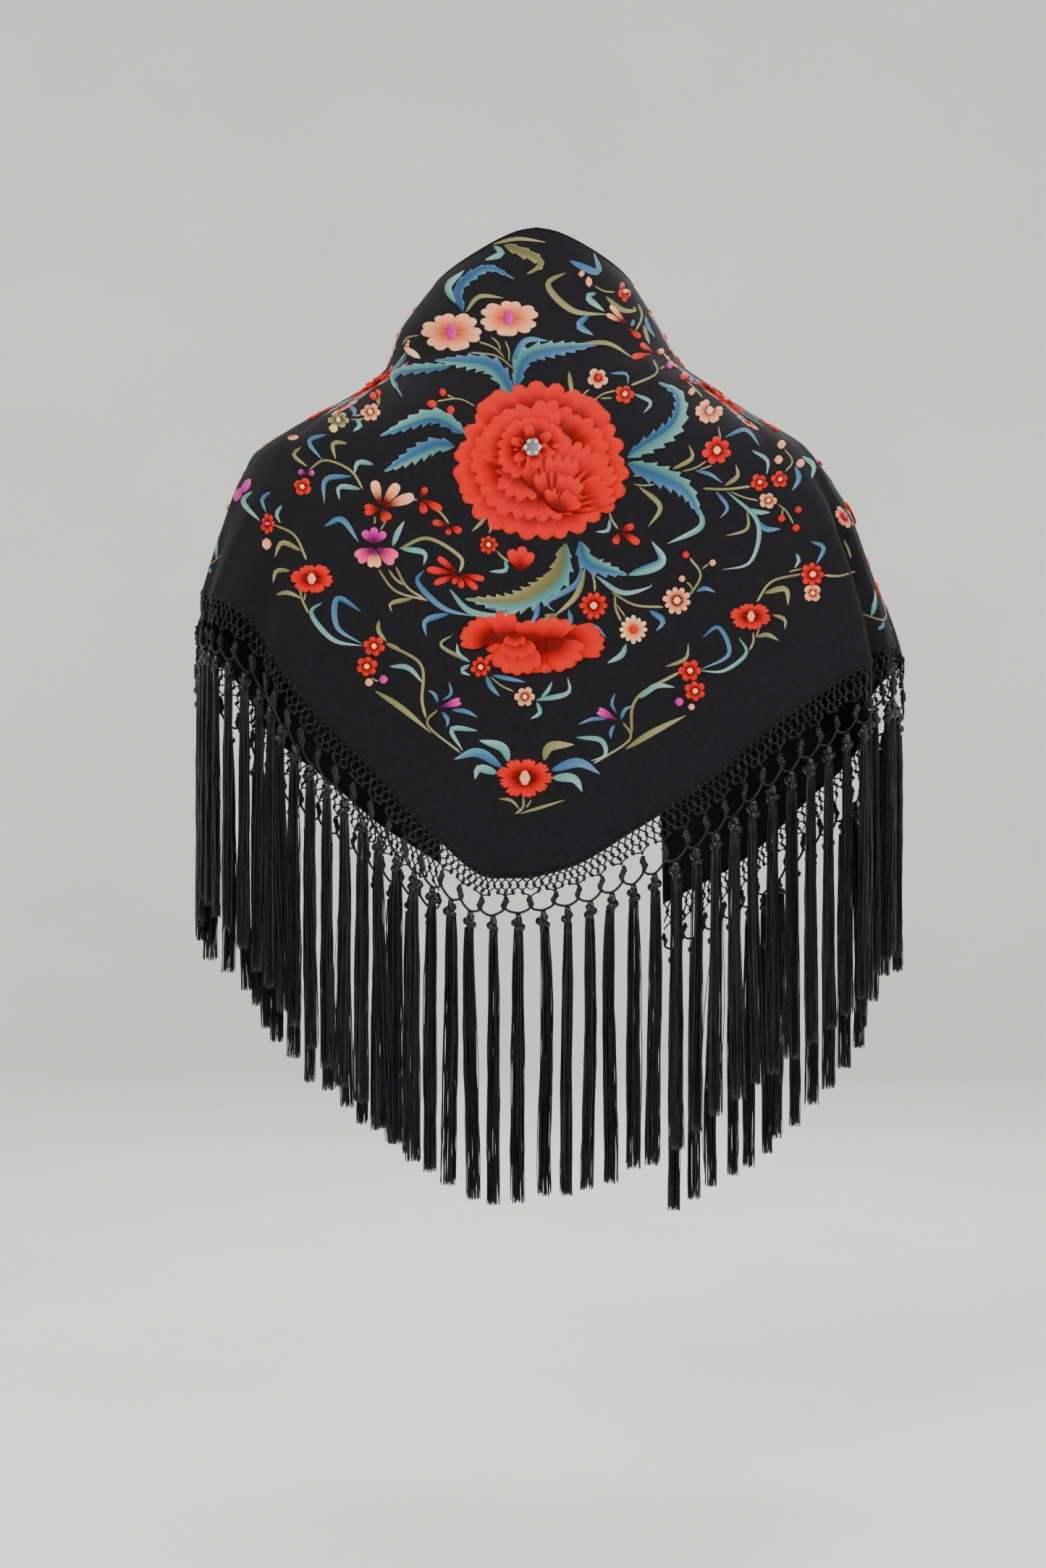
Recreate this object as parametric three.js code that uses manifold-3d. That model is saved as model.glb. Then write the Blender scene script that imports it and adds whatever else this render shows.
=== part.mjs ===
// A triangular flamenco shawl, worn with its long edge round the neck and its point down the back.
// The cloth hangs as a hollow round the neck, both shoulders and both upper arms, open down the front.
// A knotted net runs along the two short edges, and a knotted tassel hangs from each of its meshes.
// Millimetres, +Z up, the wearer faces +Y. The origin is on the neck's axis, at shoulder height.
import * as THREE from "three";
import { mergeVertices } from "three/addons/utils/BufferGeometryUtils.js";
import Module from "manifold-3d";

const wasm = await Module();
wasm.setup();
const mergeDistance = 1e-3;

// Cloth
const thickness = 2; // of the cloth, the net and the cord below it
const clothDown = 14; // steps from the top edge to the hem
const seamGap = 0.3;
const hemTurnAtFront = 166; // where the hem's table puts the front corners, in degrees
const leanAtPoint = -4; // the shawl sits a little askew: its point is this far round to the left, in degrees
const leanHeight = -385; // the height at which the whole lean is reached

// Net and tassels
const tasselsPerSide = 40;
const netDropAtPoint = 25; // the net hangs less deep below the point, where its rows run level
const netDropOnSlope = 41;
const netDropRamp = 110; // length of hem over which it deepens
const closedShare = 0.28; // the part of the drop taken by the rows too fine to cut
const fineRowShare = 0.54; // the foot of the row of fine meshes
const meshBar = 0.14; // half of the cord between two meshes, as a share of a mesh
const cordHeight = 2.6; // the cord that the tassels are tied to
const knotHeight = 14;
const knotWidth = 9;
const knotDepth = 7;
const rootWidth = 1.8; // where it comes out of the cord
const neckWidth = 4.5; // below its knot
const skirtWidth = 8;
const skirtDepth = 5.5;
const tasselLength = 192; // below its knot
const tasselLengthOverArm = 175;
const armSpan = { from: 250, full: 380, leaving: 480, past: 640 }; // where the hem crosses an arm
const rootDepth = 0.8; // how far down the cord a tassel starts, as a share of the cord

// The space that the cloth closes round, section by section from the neck down.
// fullness is the section's squareness: 2 is an ellipse, less is nearer a diamond.
const rings = [
  { height: 96, halfWidth: 46, backDepth: 57, frontDepth: 48, centre: -8, fullness: 2 },
  { height: 82, halfWidth: 56, backDepth: 64, frontDepth: 54, centre: -8, fullness: 1.98 },
  { height: 58, halfWidth: 77, backDepth: 75, frontDepth: 64, centre: -10, fullness: 1.9 },
  { height: 25, halfWidth: 99, backDepth: 88, frontDepth: 76, centre: -12, fullness: 1.84 },
  { height: 0, halfWidth: 111, backDepth: 97, frontDepth: 84, centre: -9, fullness: 1.82 },
  { height: -17, halfWidth: 131, backDepth: 103, frontDepth: 89, centre: -6, fullness: 1.84 },
  { height: -33, halfWidth: 156, backDepth: 108, frontDepth: 93, centre: -8, fullness: 1.88 },
  { height: -50, halfWidth: 185, backDepth: 113, frontDepth: 97, centre: -10, fullness: 1.94 },
  { height: -66, halfWidth: 208, backDepth: 117, frontDepth: 101, centre: -10, fullness: 2 },
  { height: -83, halfWidth: 220, backDepth: 120, frontDepth: 104, centre: -8, fullness: 2.06 },
  { height: -116, halfWidth: 237, backDepth: 124, frontDepth: 108, centre: -6, fullness: 2.14 },
  { height: -165, halfWidth: 254, backDepth: 127, frontDepth: 111, centre: -5, fullness: 2.2 },
  { height: -206, halfWidth: 266, backDepth: 128, frontDepth: 111, centre: -4, fullness: 2.2 },
  { height: -260, halfWidth: 273, backDepth: 127, frontDepth: 108, centre: 1, fullness: 2.2 },
  { height: -320, halfWidth: 276, backDepth: 125, frontDepth: 104, centre: 6, fullness: 2.2 },
  { height: -480, halfWidth: 277, backDepth: 124, frontDepth: 100, centre: 8, fullness: 2.2 },
];

// How far round from the middle of the back the front edge lies on each side, at each height.
const frontEdge = [
  { height: 96, left: 122, right: 122 },
  { height: 58, left: 125, right: 125 },
  { height: 20, left: 136, right: 138 },
  { height: 0, left: 142, right: 145 },
  { height: -33, left: 149, right: 154 },
  { height: -66, left: 153, right: 160 },
  { height: -116, left: 156, right: 164 },
  { height: -200, left: 157, right: 166 },
  { height: -480, left: 157, right: 166 },
];

// Height of the top edge, from the nape (0) to where it leaves the neck for the chest (1).
const topEdge = [
  { share: 0, height: 93 },
  { share: 0.12, height: 91 },
  { share: 0.25, height: 86 },
  { share: 0.38, height: 79 },
  { share: 0.52, height: 71 },
  { share: 0.75, height: 58 },
  { share: 1, height: 47 },
];

// Height of the hem on each side, from the point at the back (turn 0) to the front corner. The left
// front is narrower, so its corner lies less far round than the table says.
const hem = [
  { turn: 0, left: -385, right: -385 },
  { turn: 6, left: -385, right: -377 },
  { turn: 15, left: -356, right: -352 },
  { turn: 26, left: -307, right: -318 },
  { turn: 37, left: -262, right: -279 },
  { turn: 47, left: -217, right: -254 },
  { turn: 58, left: -189, right: -234 },
  { turn: 72, left: -178, right: -219 },
  { turn: 90, left: -174, right: -212 },
  { turn: 104, left: -190, right: -226 },
  { turn: 120, left: -230, right: -266 },
  { turn: 136, left: -282, right: -320 },
  { turn: 152, left: -338, right: -376 },
  { turn: 166, left: -380, right: -412 },
];

// Soft folds that run down the cloth. side is -1 on the left; depth is outwards at the hem, and a
// trough is negative. A fold starts at height from and has its whole depth at height full.
const folds = [
  { side: 1, turn: 60, halfWidth: 7, depth: 5, from: -80, full: -170 },
  { side: 1, turn: 68, halfWidth: 6, depth: -11, from: -70, full: -150 },
  { side: -1, turn: 40, halfWidth: 7, depth: 3, from: -120, full: -230 },
  { side: -1, turn: 48, halfWidth: 7, depth: -6, from: -110, full: -190 },
  { side: -1, turn: 74, halfWidth: 8, depth: -4, from: -90, full: -160 },
  { side: -1, turn: 106, halfWidth: 9, depth: 13, from: -60, full: -230 },
  { side: -1, turn: 118, halfWidth: 8, depth: -9, from: -70, full: -260 },
  { side: -1, turn: 129, halfWidth: 8, depth: 15, from: -50, full: -300 },
  { side: -1, turn: 140, halfWidth: 8, depth: -10, from: -60, full: -330 },
  { side: -1, turn: 149, halfWidth: 7, depth: 11, from: -90, full: -380 },
  { side: 1, turn: 103, halfWidth: 9, depth: 12, from: -70, full: -230 },
  { side: 1, turn: 116, halfWidth: 9, depth: -10, from: -50, full: -250 },
  { side: 1, turn: 129, halfWidth: 9, depth: 14, from: -60, full: -300 },
  { side: 1, turn: 142, halfWidth: 9, depth: -11, from: -80, full: -330 },
  { side: 1, turn: 155, halfWidth: 8, depth: 12, from: -70, full: -380 },
];

const clamp = THREE.MathUtils.clamp;
const lerp = THREE.MathUtils.lerp;
const smoothstep = THREE.MathUtils.smoothstep;
const radians = THREE.MathUtils.degToRad;

// A smooth curve through one column of a table, which never swings past the rows on either side.
function curveThrough(rows, key, column) {
  const sorted = [...rows].sort((a, b) => a[key] - b[key]);
  const xs = sorted.map((row) => row[key]);
  const ys = sorted.map((row) => row[column]);
  const slopes = xs.slice(1).map((x, i) => (ys[i + 1] - ys[i]) / (x - xs[i]));
  const tangents = ys.map((_, i) => {
    if (i === 0) return slopes[0];
    if (i === ys.length - 1) return slopes[i - 1];
    const product = slopes[i - 1] * slopes[i];
    return product <= 0 ? 0 : (2 * product) / (slopes[i - 1] + slopes[i]);
  });
  return (x) => {
    const at = clamp(x, xs[0], xs[xs.length - 1]);
    let i = xs.findIndex((edge) => edge >= at) - 1;
    i = clamp(i, 0, slopes.length - 1);
    const width = xs[i + 1] - xs[i];
    const u = (at - xs[i]) / width;
    const v = 1 - u;
    return (
      ys[i] * (1 + 2 * u) * v * v +
      tangents[i] * width * u * v * v +
      ys[i + 1] * (1 + 2 * v) * u * u -
      tangents[i + 1] * width * v * u * u
    );
  };
}

const halfWidthAt = curveThrough(rings, "height", "halfWidth");
const backDepthAt = curveThrough(rings, "height", "backDepth");
const frontDepthAt = curveThrough(rings, "height", "frontDepth");
const centreAt = curveThrough(rings, "height", "centre");
const fullnessAt = curveThrough(rings, "height", "fullness");
const leftEdgeAt = curveThrough(frontEdge, "height", "left");
const rightEdgeAt = curveThrough(frontEdge, "height", "right");
const topHeightAt = curveThrough(topEdge, "share", "height");
const leftHemAt = curveThrough(hem, "turn", "left");
const rightHemAt = curveThrough(hem, "turn", "right");

// How far the folds push the cloth out, at a turn and height.
function foldDepth(turn, height) {
  return folds.reduce((sum, fold) => {
    const away = Math.abs(turn * fold.side - fold.turn) / fold.halfWidth;
    if (away >= 1) return sum;
    const across = 0.5 + 0.5 * Math.cos(Math.PI * away);
    const down = smoothstep(-height, -fold.from, -fold.full);
    return sum + fold.depth * across * down;
  }, 0);
}

// A point of the cloth's outer face. across runs from -1 at the left front edge to 1 at the right one,
// and down from 0 at the top edge to 1 at the hem.
function clothPoint(across, down) {
  const top = topHeightAt(Math.abs(across));
  const hemTurn = Math.abs(across) * hemTurnAtFront;
  const foot = across < 0 ? leftHemAt(hemTurn) : rightHemAt(hemTurn);
  const height = lerp(top, foot, down);
  const turn = across * (across < 0 ? leftEdgeAt(height) : rightEdgeAt(height));
  const lean = leanAtPoint * smoothstep(-height, 0, -leanHeight);
  const angle = radians(turn + lean);
  const sin = Math.sin(angle);
  const cos = Math.cos(angle);
  const n = fullnessAt(height);
  const square = (Math.abs(sin) ** n + Math.abs(cos) ** n) ** (-1 / n);
  const depth = cos > 0 ? backDepthAt(height) : frontDepthAt(height);
  const x = halfWidthAt(height) * square * sin;
  const y = -depth * square * cos;
  const outwards = new THREE.Vector2(x / halfWidthAt(height) ** 2, y / depth ** 2).normalize();
  const fold = foldDepth(turn, height);
  return new THREE.Vector3(centreAt(height) + x + outwards.x * fold, y + outwards.y * fold, height);
}

// The unit normal of the outer face, pointing away from the wearer.
function clothNormal(across, down) {
  const step = 1e-3;
  const alongAcross = clothPoint(across + step, down).sub(clothPoint(across - step, down));
  const alongDown = clothPoint(across, down + step).sub(clothPoint(across, down - step));
  return alongDown.cross(alongAcross).normalize();
}

// A sheet of cloth or net: pairs of points, one on each face, and the triangles between them.
class Sheet {
  outer = [];
  inner = [];
  triangles = [];

  point(outer, inner) {
    this.outer.push(outer);
    this.inner.push(inner);
    return this.outer.length - 1;
  }

  quad(a, b, c, d) {
    this.triangles.push([a, b, c], [a, c, d]);
  }

  // A cell with a hole of four corners, which point at the middles of the cell's four sides. A side is
  // the list of points along it, and the hole reaches the given share of the way out to the sides.
  openCell(sides, share) {
    const corners = sides.map((side) => side[0]);
    const hole = sides.map((side) => {
      const ends = [side[0], side[side.length - 1]];
      const place = (face) => {
        const centre = new THREE.Vector3();
        corners.forEach((corner) => centre.addScaledVector(face[corner], 1 / corners.length));
        return centre.lerp(face[ends[0]].clone().lerp(face[ends[1]], 0.5), share);
      };
      return this.point(place(this.outer), place(this.inner));
    });
    sides.forEach((side, k) => {
      side.slice(1).forEach((next, i) => this.triangles.push([side[i], next, hole[k]]));
      this.triangles.push([side[side.length - 1], hole[(k + 1) % sides.length], hole[k]]);
    });
  }

  // The closed wall: both faces, and a strip along each edge that only one triangle has. Those edges
  // run round the sheet and round each of its holes. A strip's quads are split from the outer face's
  // later point, so that two walls with a seam between them are split alike and stay apart.
  wall() {
    const count = this.outer.length;
    const index = this.triangles.flatMap(([a, b, c]) => [a, b, c, count + a, count + c, count + b]);
    const name = (a, b) => a * count + b;
    const edges = this.triangles.flatMap(([a, b, c]) => [[a, b], [b, c], [c, a]]);
    const used = new Set(edges.map(([a, b]) => name(a, b)));
    edges
      .filter(([a, b]) => !used.has(name(b, a)))
      .forEach(([a, b]) => {
        const [backOfA, backOfB] = [count + a, count + b];
        if (a < b) index.push(b, a, backOfA, b, backOfA, backOfB);
        else index.push(b, a, backOfB, a, backOfA, backOfB);
      });
    const positions = [...this.outer, ...this.inner].flatMap((p) => p.toArray());
    return new THREE.BufferGeometry()
      .setAttribute("position", new THREE.Float32BufferAttribute(positions, 3))
      .setIndex(index);
  }
}

// A list of count + 1 even steps from start to end.
const evenSteps = (start, end, count) =>
  Array.from({ length: count + 1 }, (_, i) => lerp(start, end, i / count));

// A sheet with no holes, from columns of pairs of points.
function wholeSheet(columns) {
  const sheet = new Sheet();
  const grid = columns.map((column) => column.map(([outer, inner]) => sheet.point(outer, inner)));
  grid.slice(1).forEach((far, i) => {
    const near = grid[i];
    far.slice(1).forEach((_, j) => sheet.quad(near[j], near[j + 1], far[j + 1], far[j]));
  });
  return sheet.wall();
}

// The hem on one side, measured along it from the point at the back. at(length) gives the place there
// in the middle of the cloth's thickness, and the direction in plan that faces away from the wearer.
function hemLine(side) {
  const fine = 1200; // steps, far finer than the tassels' spacing
  const points = evenSteps(0, 1, fine).map((share) => clothPoint(side * share, 1));
  const lengths = [0];
  points.slice(1).forEach((p, i) => lengths.push(lengths[i] + p.distanceTo(points[i])));
  const at = (wanted) => {
    const length = Math.min(wanted, lengths[fine]);
    const i = clamp(lengths.findIndex((reached) => reached >= length), 1, fine);
    const part = (length - lengths[i - 1]) / (lengths[i] - lengths[i - 1]);
    const along = points[i].clone().sub(points[i - 1]);
    const out = new THREE.Vector3(along.y, -along.x, 0).multiplyScalar(side).normalize();
    const place = points[i - 1].clone().lerp(points[i], part).addScaledVector(out, -thickness / 2);
    return { place, out, length, across: (side * (i - 1 + part)) / fine };
  };
  return { at, pitch: lengths[fine] / tasselsPerSide };
}

const lines = { left: hemLine(-1), right: hemLine(1) };
const netDropAt = (length) => lerp(netDropAtPoint, netDropOnSlope, smoothstep(length, 0, netDropRamp));
const below = (place, drop) => place.clone().setZ(place.z - drop);

// Stations along the hem from the first tassel's share of it to the last one's, with a given number of
// steps to each, listed from the wearer's left to right. They stop half a seam short of both ends.
function stationsAlong(side, first, last, perTassel, gap = seamGap) {
  const { at, pitch } = lines[side];
  const stations = evenSteps(first, last, (last - first) * perTassel).map((number) =>
    at(clamp(number * pitch, first * pitch + gap / 2, last * pitch - gap / 2)),
  );
  return side === "left" ? stations.reverse() : stations;
}

// A pair of points, one on each face of a hanging strip.
const pairBelow = ({ place, out }, drop) =>
  [0.5, -0.5].map((half) => below(place, drop).addScaledVector(out, half * thickness));

// The cloth. Its columns meet the hem at the same stations as the net does.
function panelGeometry() {
  const rightHalf = stationsAlong("right", 0, tasselsPerSide, 1, 0);
  const leftHalf = stationsAlong("left", 0, tasselsPerSide, 1, 0);
  return wholeSheet(
    [...leftHalf, ...rightHalf.slice(1)].map((station) => [
      ...evenSteps(0, 1, clothDown).slice(0, -1).map((share) => {
        const outer = clothPoint(station.across, share);
        return [outer, outer.clone().addScaledVector(clothNormal(station.across, share), -thickness)];
      }),
      pairBelow(station, 0),
    ]),
  );
}

// The net hangs straight down from the hem: a band too fine to cut, a row of fine meshes, two to a
// tassel, and a row of wide ones.
function netGeometry(side) {
  const sheet = new Sheet();
  const columns = stationsAlong(side, 0, tasselsPerSide, 2).map((station) =>
    [0, closedShare, fineRowShare, 1].map((share) =>
      sheet.point(...pairBelow(station, lerp(seamGap, netDropAt(station.length), share))),
    ),
  );
  const opened = 1 - 2 * meshBar;
  columns.slice(1).forEach((far, i) => {
    const near = columns[i];
    sheet.openCell([[near[1], near[2]], [near[2], far[2]], [far[2], far[1]], [far[1], near[1]]], opened);
  });
  for (let k = 0; k < columns.length - 1; k += 2) {
    const [near, middle, far] = columns.slice(k, k + 3);
    sheet.triangles.push([near[0], near[1], middle[1]]);
    sheet.triangles.push([near[0], middle[1], far[0]]);
    sheet.triangles.push([far[0], middle[1], far[1]]);
    const head = [far[2], middle[2], near[2]];
    sheet.openCell([[near[2], near[3]], [near[3], far[3]], [far[3], far[2]], head], opened);
  }
  return sheet.wall();
}

// A tassel of three sides, from its root in the cord down: sections of their own width and depth.
function tasselGeometry({ place, out }, rootDrop, sections) {
  const aside = new THREE.Vector3(-out.y, out.x, 0);
  const corners = [
    { across: -0.5, outwards: -0.5 },
    { across: 0, outwards: 0.5 },
    { across: 0.5, outwards: -0.5 },
  ];
  const positions = sections.flatMap(({ drop, width, depth }) =>
    corners.flatMap(({ across, outwards }) =>
      below(place, rootDrop + drop)
        .addScaledVector(aside, across * width)
        .addScaledVector(out, outwards * depth)
        .toArray(),
    ),
  );
  const index = [0, 1, 2];
  for (let upper = 0; upper < (sections.length - 1) * 3; upper++) {
    const next = upper % 3 === 2 ? upper - 2 : upper + 1;
    index.push(upper, next + 3, next, upper, upper + 3, next + 3);
  }
  const foot = (sections.length - 1) * 3;
  index.push(foot, foot + 2, foot + 1);
  return new THREE.BufferGeometry()
    .setAttribute("position", new THREE.Float32BufferAttribute(positions, 3))
    .setIndex(index);
}

// A stretch of fringe: the cord along the foot of the net, and the tassels tied to it, one below the
// middle of each wide mesh.
function fringeGeometry(side, first, last) {
  const stations = stationsAlong(side, first, last, 1);
  const footOf = (station) => netDropAt(station.length) + seamGap;
  const cord = stations.map((station) =>
    [0, cordHeight].map((drop) => pairBelow(station, footOf(station) + drop)),
  );
  const tassels = stations.slice(1).map((far, i) => {
    const near = stations[i];
    const place = near.place.clone().lerp(far.place, 0.5);
    const out = near.out.clone().add(far.out).normalize();
    const length = (near.length + far.length) / 2;
    const onArm = smoothstep(length, armSpan.from, armSpan.full);
    const overArm = onArm * (1 - smoothstep(length, armSpan.leaving, armSpan.past));
    const knotFoot = cordHeight + knotHeight;
    const skirtFoot = knotFoot + lerp(tasselLength, tasselLengthOverArm, overArm);
    return tasselGeometry({ place, out }, (footOf(near) + footOf(far)) / 2, [
      { drop: cordHeight * rootDepth, width: rootWidth, depth: thickness / 2 },
      { drop: cordHeight + knotHeight / 2, width: knotWidth, depth: knotDepth },
      { drop: knotFoot, width: neckWidth, depth: neckWidth },
      { drop: skirtFoot, width: skirtWidth, depth: skirtDepth },
    ]);
  });
  return fused([wholeSheet(cord), ...tassels]);
}

// One closed body out of several that overlap.
function fused(geometries) {
  const solid = geometries.map(solidOf).reduce((all, next) => all.add(next));
  const { vertProperties, triVerts } = solid.getMesh();
  return new THREE.BufferGeometry()
    .setAttribute("position", new THREE.BufferAttribute(vertProperties, 3))
    .setIndex(new THREE.BufferAttribute(triVerts, 1));
}

function solidOf(geometry) {
  const merged = mergeVertices(geometry, mergeDistance);
  const vertProperties = merged.attributes.position.array;
  const triVerts = new Uint32Array(merged.index.array);
  return new wasm.Manifold(new wasm.Mesh({ numProp: 3, vertProperties, triVerts }));
}

const crepe = new THREE.MeshStandardMaterial({ color: 0x141216, roughness: 0.85, metalness: 0 });
const silkCord = new THREE.MeshStandardMaterial({ color: 0x17151a, roughness: 0.5, metalness: 0 });
const silkStrands = new THREE.MeshStandardMaterial({ color: 0x1b1a1f, roughness: 0.42, metalness: 0 });

const shawl = new THREE.Group();

function place(name, geometry, material) {
  const mesh = new THREE.Mesh(geometry, material);
  mesh.name = name;
  shawl.add(mesh);
}

place("panel", panelGeometry(), crepe);
const stretches = [
  { name: "back", first: 0, last: 13 },
  { name: "arm", first: 13, last: 21 },
  { name: "chest", first: 21, last: 29 },
  { name: "front", first: 29, last: tasselsPerSide },
];
Object.keys(lines).forEach((side) => {
  place(`net_${side}`, netGeometry(side), silkCord);
  stretches.forEach(({ name, first, last }) =>
    place(`fringe_${name}_${side}`, fringeGeometry(side, first, last), silkStrands),
  );
});

export default shawl;
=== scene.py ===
# A flamenco shawl as it hangs on its wearer: a triangle of black crepe with silk embroidery, a
# knotted net along both short edges and a row of long tassels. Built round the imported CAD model.
import math

import bpy
import numpy as np
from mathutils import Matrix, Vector
from mathutils.bvhtree import BVHTree


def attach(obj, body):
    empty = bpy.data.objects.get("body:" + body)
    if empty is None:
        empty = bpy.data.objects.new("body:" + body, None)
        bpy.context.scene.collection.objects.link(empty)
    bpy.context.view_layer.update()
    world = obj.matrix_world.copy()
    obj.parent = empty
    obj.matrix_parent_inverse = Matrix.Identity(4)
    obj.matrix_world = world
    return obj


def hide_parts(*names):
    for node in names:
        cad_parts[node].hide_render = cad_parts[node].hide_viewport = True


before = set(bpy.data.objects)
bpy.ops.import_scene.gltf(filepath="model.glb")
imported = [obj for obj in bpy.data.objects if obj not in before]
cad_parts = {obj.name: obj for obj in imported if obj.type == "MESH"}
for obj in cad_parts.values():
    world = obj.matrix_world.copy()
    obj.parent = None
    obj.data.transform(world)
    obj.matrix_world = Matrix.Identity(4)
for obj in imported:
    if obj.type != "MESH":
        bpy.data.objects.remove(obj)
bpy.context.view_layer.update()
print("frame loaded")

mm = 0.001  # the tables below are in millimetres and degrees, as in the part's source

# Camera: level, behind the wearer. One pixel of the photograph is metresPerPixel at y = 0.
view = {
    "place": (-0.0179, -2.2, -0.3182),
    "metresPerPixel": 0.00055,
    "photoWidth": 1445,
    "photoHeight": 2167,
    "sensor": 36,
    "near": 0.05,
    "far": 60,
}


def deselect():
    if bpy.context.mode != "OBJECT":
        bpy.ops.object.mode_set(mode="OBJECT")
    bpy.ops.object.select_all(action="DESELECT")


deselect()
bpy.ops.object.camera_add(location=view["place"], rotation=(math.radians(90), 0, 0))
camera = bpy.context.object
camera.name = "camera"
camera.data.sensor_width = view["sensor"]
camera.data.lens = view["sensor"] * -view["place"][1] / (view["photoHeight"] * view["metresPerPixel"])
camera.data.clip_start, camera.data.clip_end = view["near"], view["far"]
camera.data.dof.use_dof = False
bpy.context.scene.camera = camera

# The drape, section by section from the neck down, with the same numbers as the solids.
drape = {
    "hemTurnAtFront": 166,
    "leanAtPoint": -4,
    "leanHeight": -385,
    "rings": [  # height, halfWidth, backDepth, frontDepth, centre, fullness
        (96, 46, 57, 48, -8, 2), (82, 56, 64, 54, -8, 1.98), (58, 77, 75, 64, -10, 1.9),
        (25, 99, 88, 76, -12, 1.84), (0, 111, 97, 84, -9, 1.82), (-17, 131, 103, 89, -6, 1.84),
        (-33, 156, 108, 93, -8, 1.88), (-50, 185, 113, 97, -10, 1.94), (-66, 208, 117, 101, -10, 2),
        (-83, 220, 120, 104, -8, 2.06), (-116, 237, 124, 108, -6, 2.14), (-165, 254, 127, 111, -5, 2.2),
        (-206, 266, 128, 111, -4, 2.2), (-260, 273, 127, 108, 1, 2.2), (-320, 276, 125, 104, 6, 2.2),
        (-480, 277, 124, 100, 8, 2.2),
    ],
    "frontEdge": [  # height, turn on the left, turn on the right
        (96, 122, 122), (58, 125, 125), (20, 136, 138), (0, 142, 145), (-33, 149, 154), (-66, 153, 160),
        (-116, 156, 164), (-200, 157, 166), (-480, 157, 166),
    ],
    "topEdge": [(0, 93), (0.12, 91), (0.25, 86), (0.38, 79), (0.52, 71), (0.75, 58), (1, 47)],
    "hem": [  # turn, height on the left, height on the right
        (0, -385, -385), (6, -385, -377), (15, -356, -352), (26, -307, -318), (37, -262, -279),
        (47, -217, -254), (58, -189, -234), (72, -178, -219), (90, -174, -212), (104, -190, -226),
        (120, -230, -266), (136, -282, -320), (152, -338, -376), (166, -380, -412),
    ],
    "folds": [  # side, turn, half width, depth outwards, height where it starts, height of full depth
        (1, 60, 7, 5, -80, -170), (1, 68, 6, -11, -70, -150), (-1, 40, 7, 3, -120, -230),
        (-1, 48, 7, -6, -110, -190), (-1, 74, 8, -4, -90, -160), (-1, 106, 9, 13, -60, -230),
        (-1, 118, 8, -9, -70, -260), (-1, 129, 8, 15, -50, -300), (-1, 140, 8, -10, -60, -330),
        (-1, 149, 7, 11, -90, -380), (1, 103, 9, 12, -70, -230), (1, 116, 9, -10, -50, -250),
        (1, 129, 9, 14, -60, -300), (1, 142, 9, -11, -80, -330), (1, 155, 8, 12, -70, -380),
    ],
}

# What the cloth adds to the drape: its real thinness and its small creases, each from one turn and
# height to another, with its half width and its depth outwards.
cloth = {
    "columns": 300,
    "rows": 116,
    "thickness": 0.0007,
    "hemRadius": 0.0011,
    "hemSteps": (560, 180),
    "hemSides": 6,
    "hemInset": 0.001,
    "creaseSteps": 6,
    "creaseFade": 0.6,
    "creases": [
        (-62, 20, -30, -60, 7, 1.2), (-80, -10, -52, -90, 8, -1.4), (-96, -40, -74, -130, 8, 1.6),
        (-24, 74, -12, 10, 7, -0.9), (26, 78, 14, 12, 7, -1.1), (58, 30, 34, -40, 8, 1.3),
        (74, -6, 50, -84, 7, -1.6), (84, -40, 63, -130, 7, 1.7), (96, -60, 80, -180, 8, -1.6),
        (64, -90, 70, -225, 6, 1.8), (-60, -90, -66, -180, 6, 1.4), (-44, -60, -50, -190, 6, -1.2),
        (-112, -20, -104, -150, 8, -1.8), (-128, 10, -118, -120, 8, 1.8), (-140, 0, -132, -160, 7, -1.7),
        (112, -20, 106, -150, 8, -1.8), (126, 12, 120, -120, 8, 1.9), (138, 0, 130, -160, 7, -1.6),
        (-6, -120, -9, -260, 16, 0.9), (18, -90, 22, -250, 14, -0.9), (0, 60, 2, -20, 12, -0.8),
    ],
}


def curveThrough(rows, column=1):
    # a smooth curve through one column of a table, which never swings past the rows beside it
    table = np.array(sorted(rows), dtype=float)
    xs, ys = table[:, 0], table[:, column]
    slopes = np.diff(ys) / np.diff(xs)
    product = slopes[:-1] * slopes[1:]
    total = slopes[:-1] + slopes[1:]
    inner = np.where(product > 0, 2 * product / np.where(total == 0, 1, total), 0)
    tangents = np.concatenate([slopes[:1], inner, slopes[-1:]])

    def at(x):
        x = np.clip(x, xs[0], xs[-1])
        i = np.clip(np.searchsorted(xs, x) - 1, 0, len(slopes) - 1)
        width = xs[i + 1] - xs[i]
        u = (x - xs[i]) / width
        v = 1 - u
        return (
            ys[i] * (1 + 2 * u) * v * v
            + tangents[i] * width * u * v * v
            + ys[i + 1] * (1 + 2 * v) * u * u
            - tangents[i + 1] * width * v * u * u
        )

    return at


halfWidthAt, backDepthAt, frontDepthAt, centreAt, fullnessAt = (
    curveThrough(drape["rings"], column) for column in range(1, 6)
)
leftEdgeAt = curveThrough(drape["frontEdge"], 1)
rightEdgeAt = curveThrough(drape["frontEdge"], 2)
topHeightAt = curveThrough(drape["topEdge"])
leftHemAt = curveThrough(drape["hem"], 1)
rightHemAt = curveThrough(drape["hem"], 2)


def smoothStep(x, low, high):
    t = np.clip((x - low) / (high - low), 0, 1)
    return t * t * (3 - 2 * t)


def unit(vectors):
    return vectors / np.maximum(np.linalg.norm(vectors, axis=-1, keepdims=True), 1e-12)


def lengthsAlong(points, axis=0):
    # how far along its path each point lies
    steps = np.linalg.norm(np.diff(points, axis=axis), axis=-1)
    return np.concatenate([np.zeros_like(steps.take([0], axis)), np.cumsum(steps, axis=axis)], axis=axis)


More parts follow.
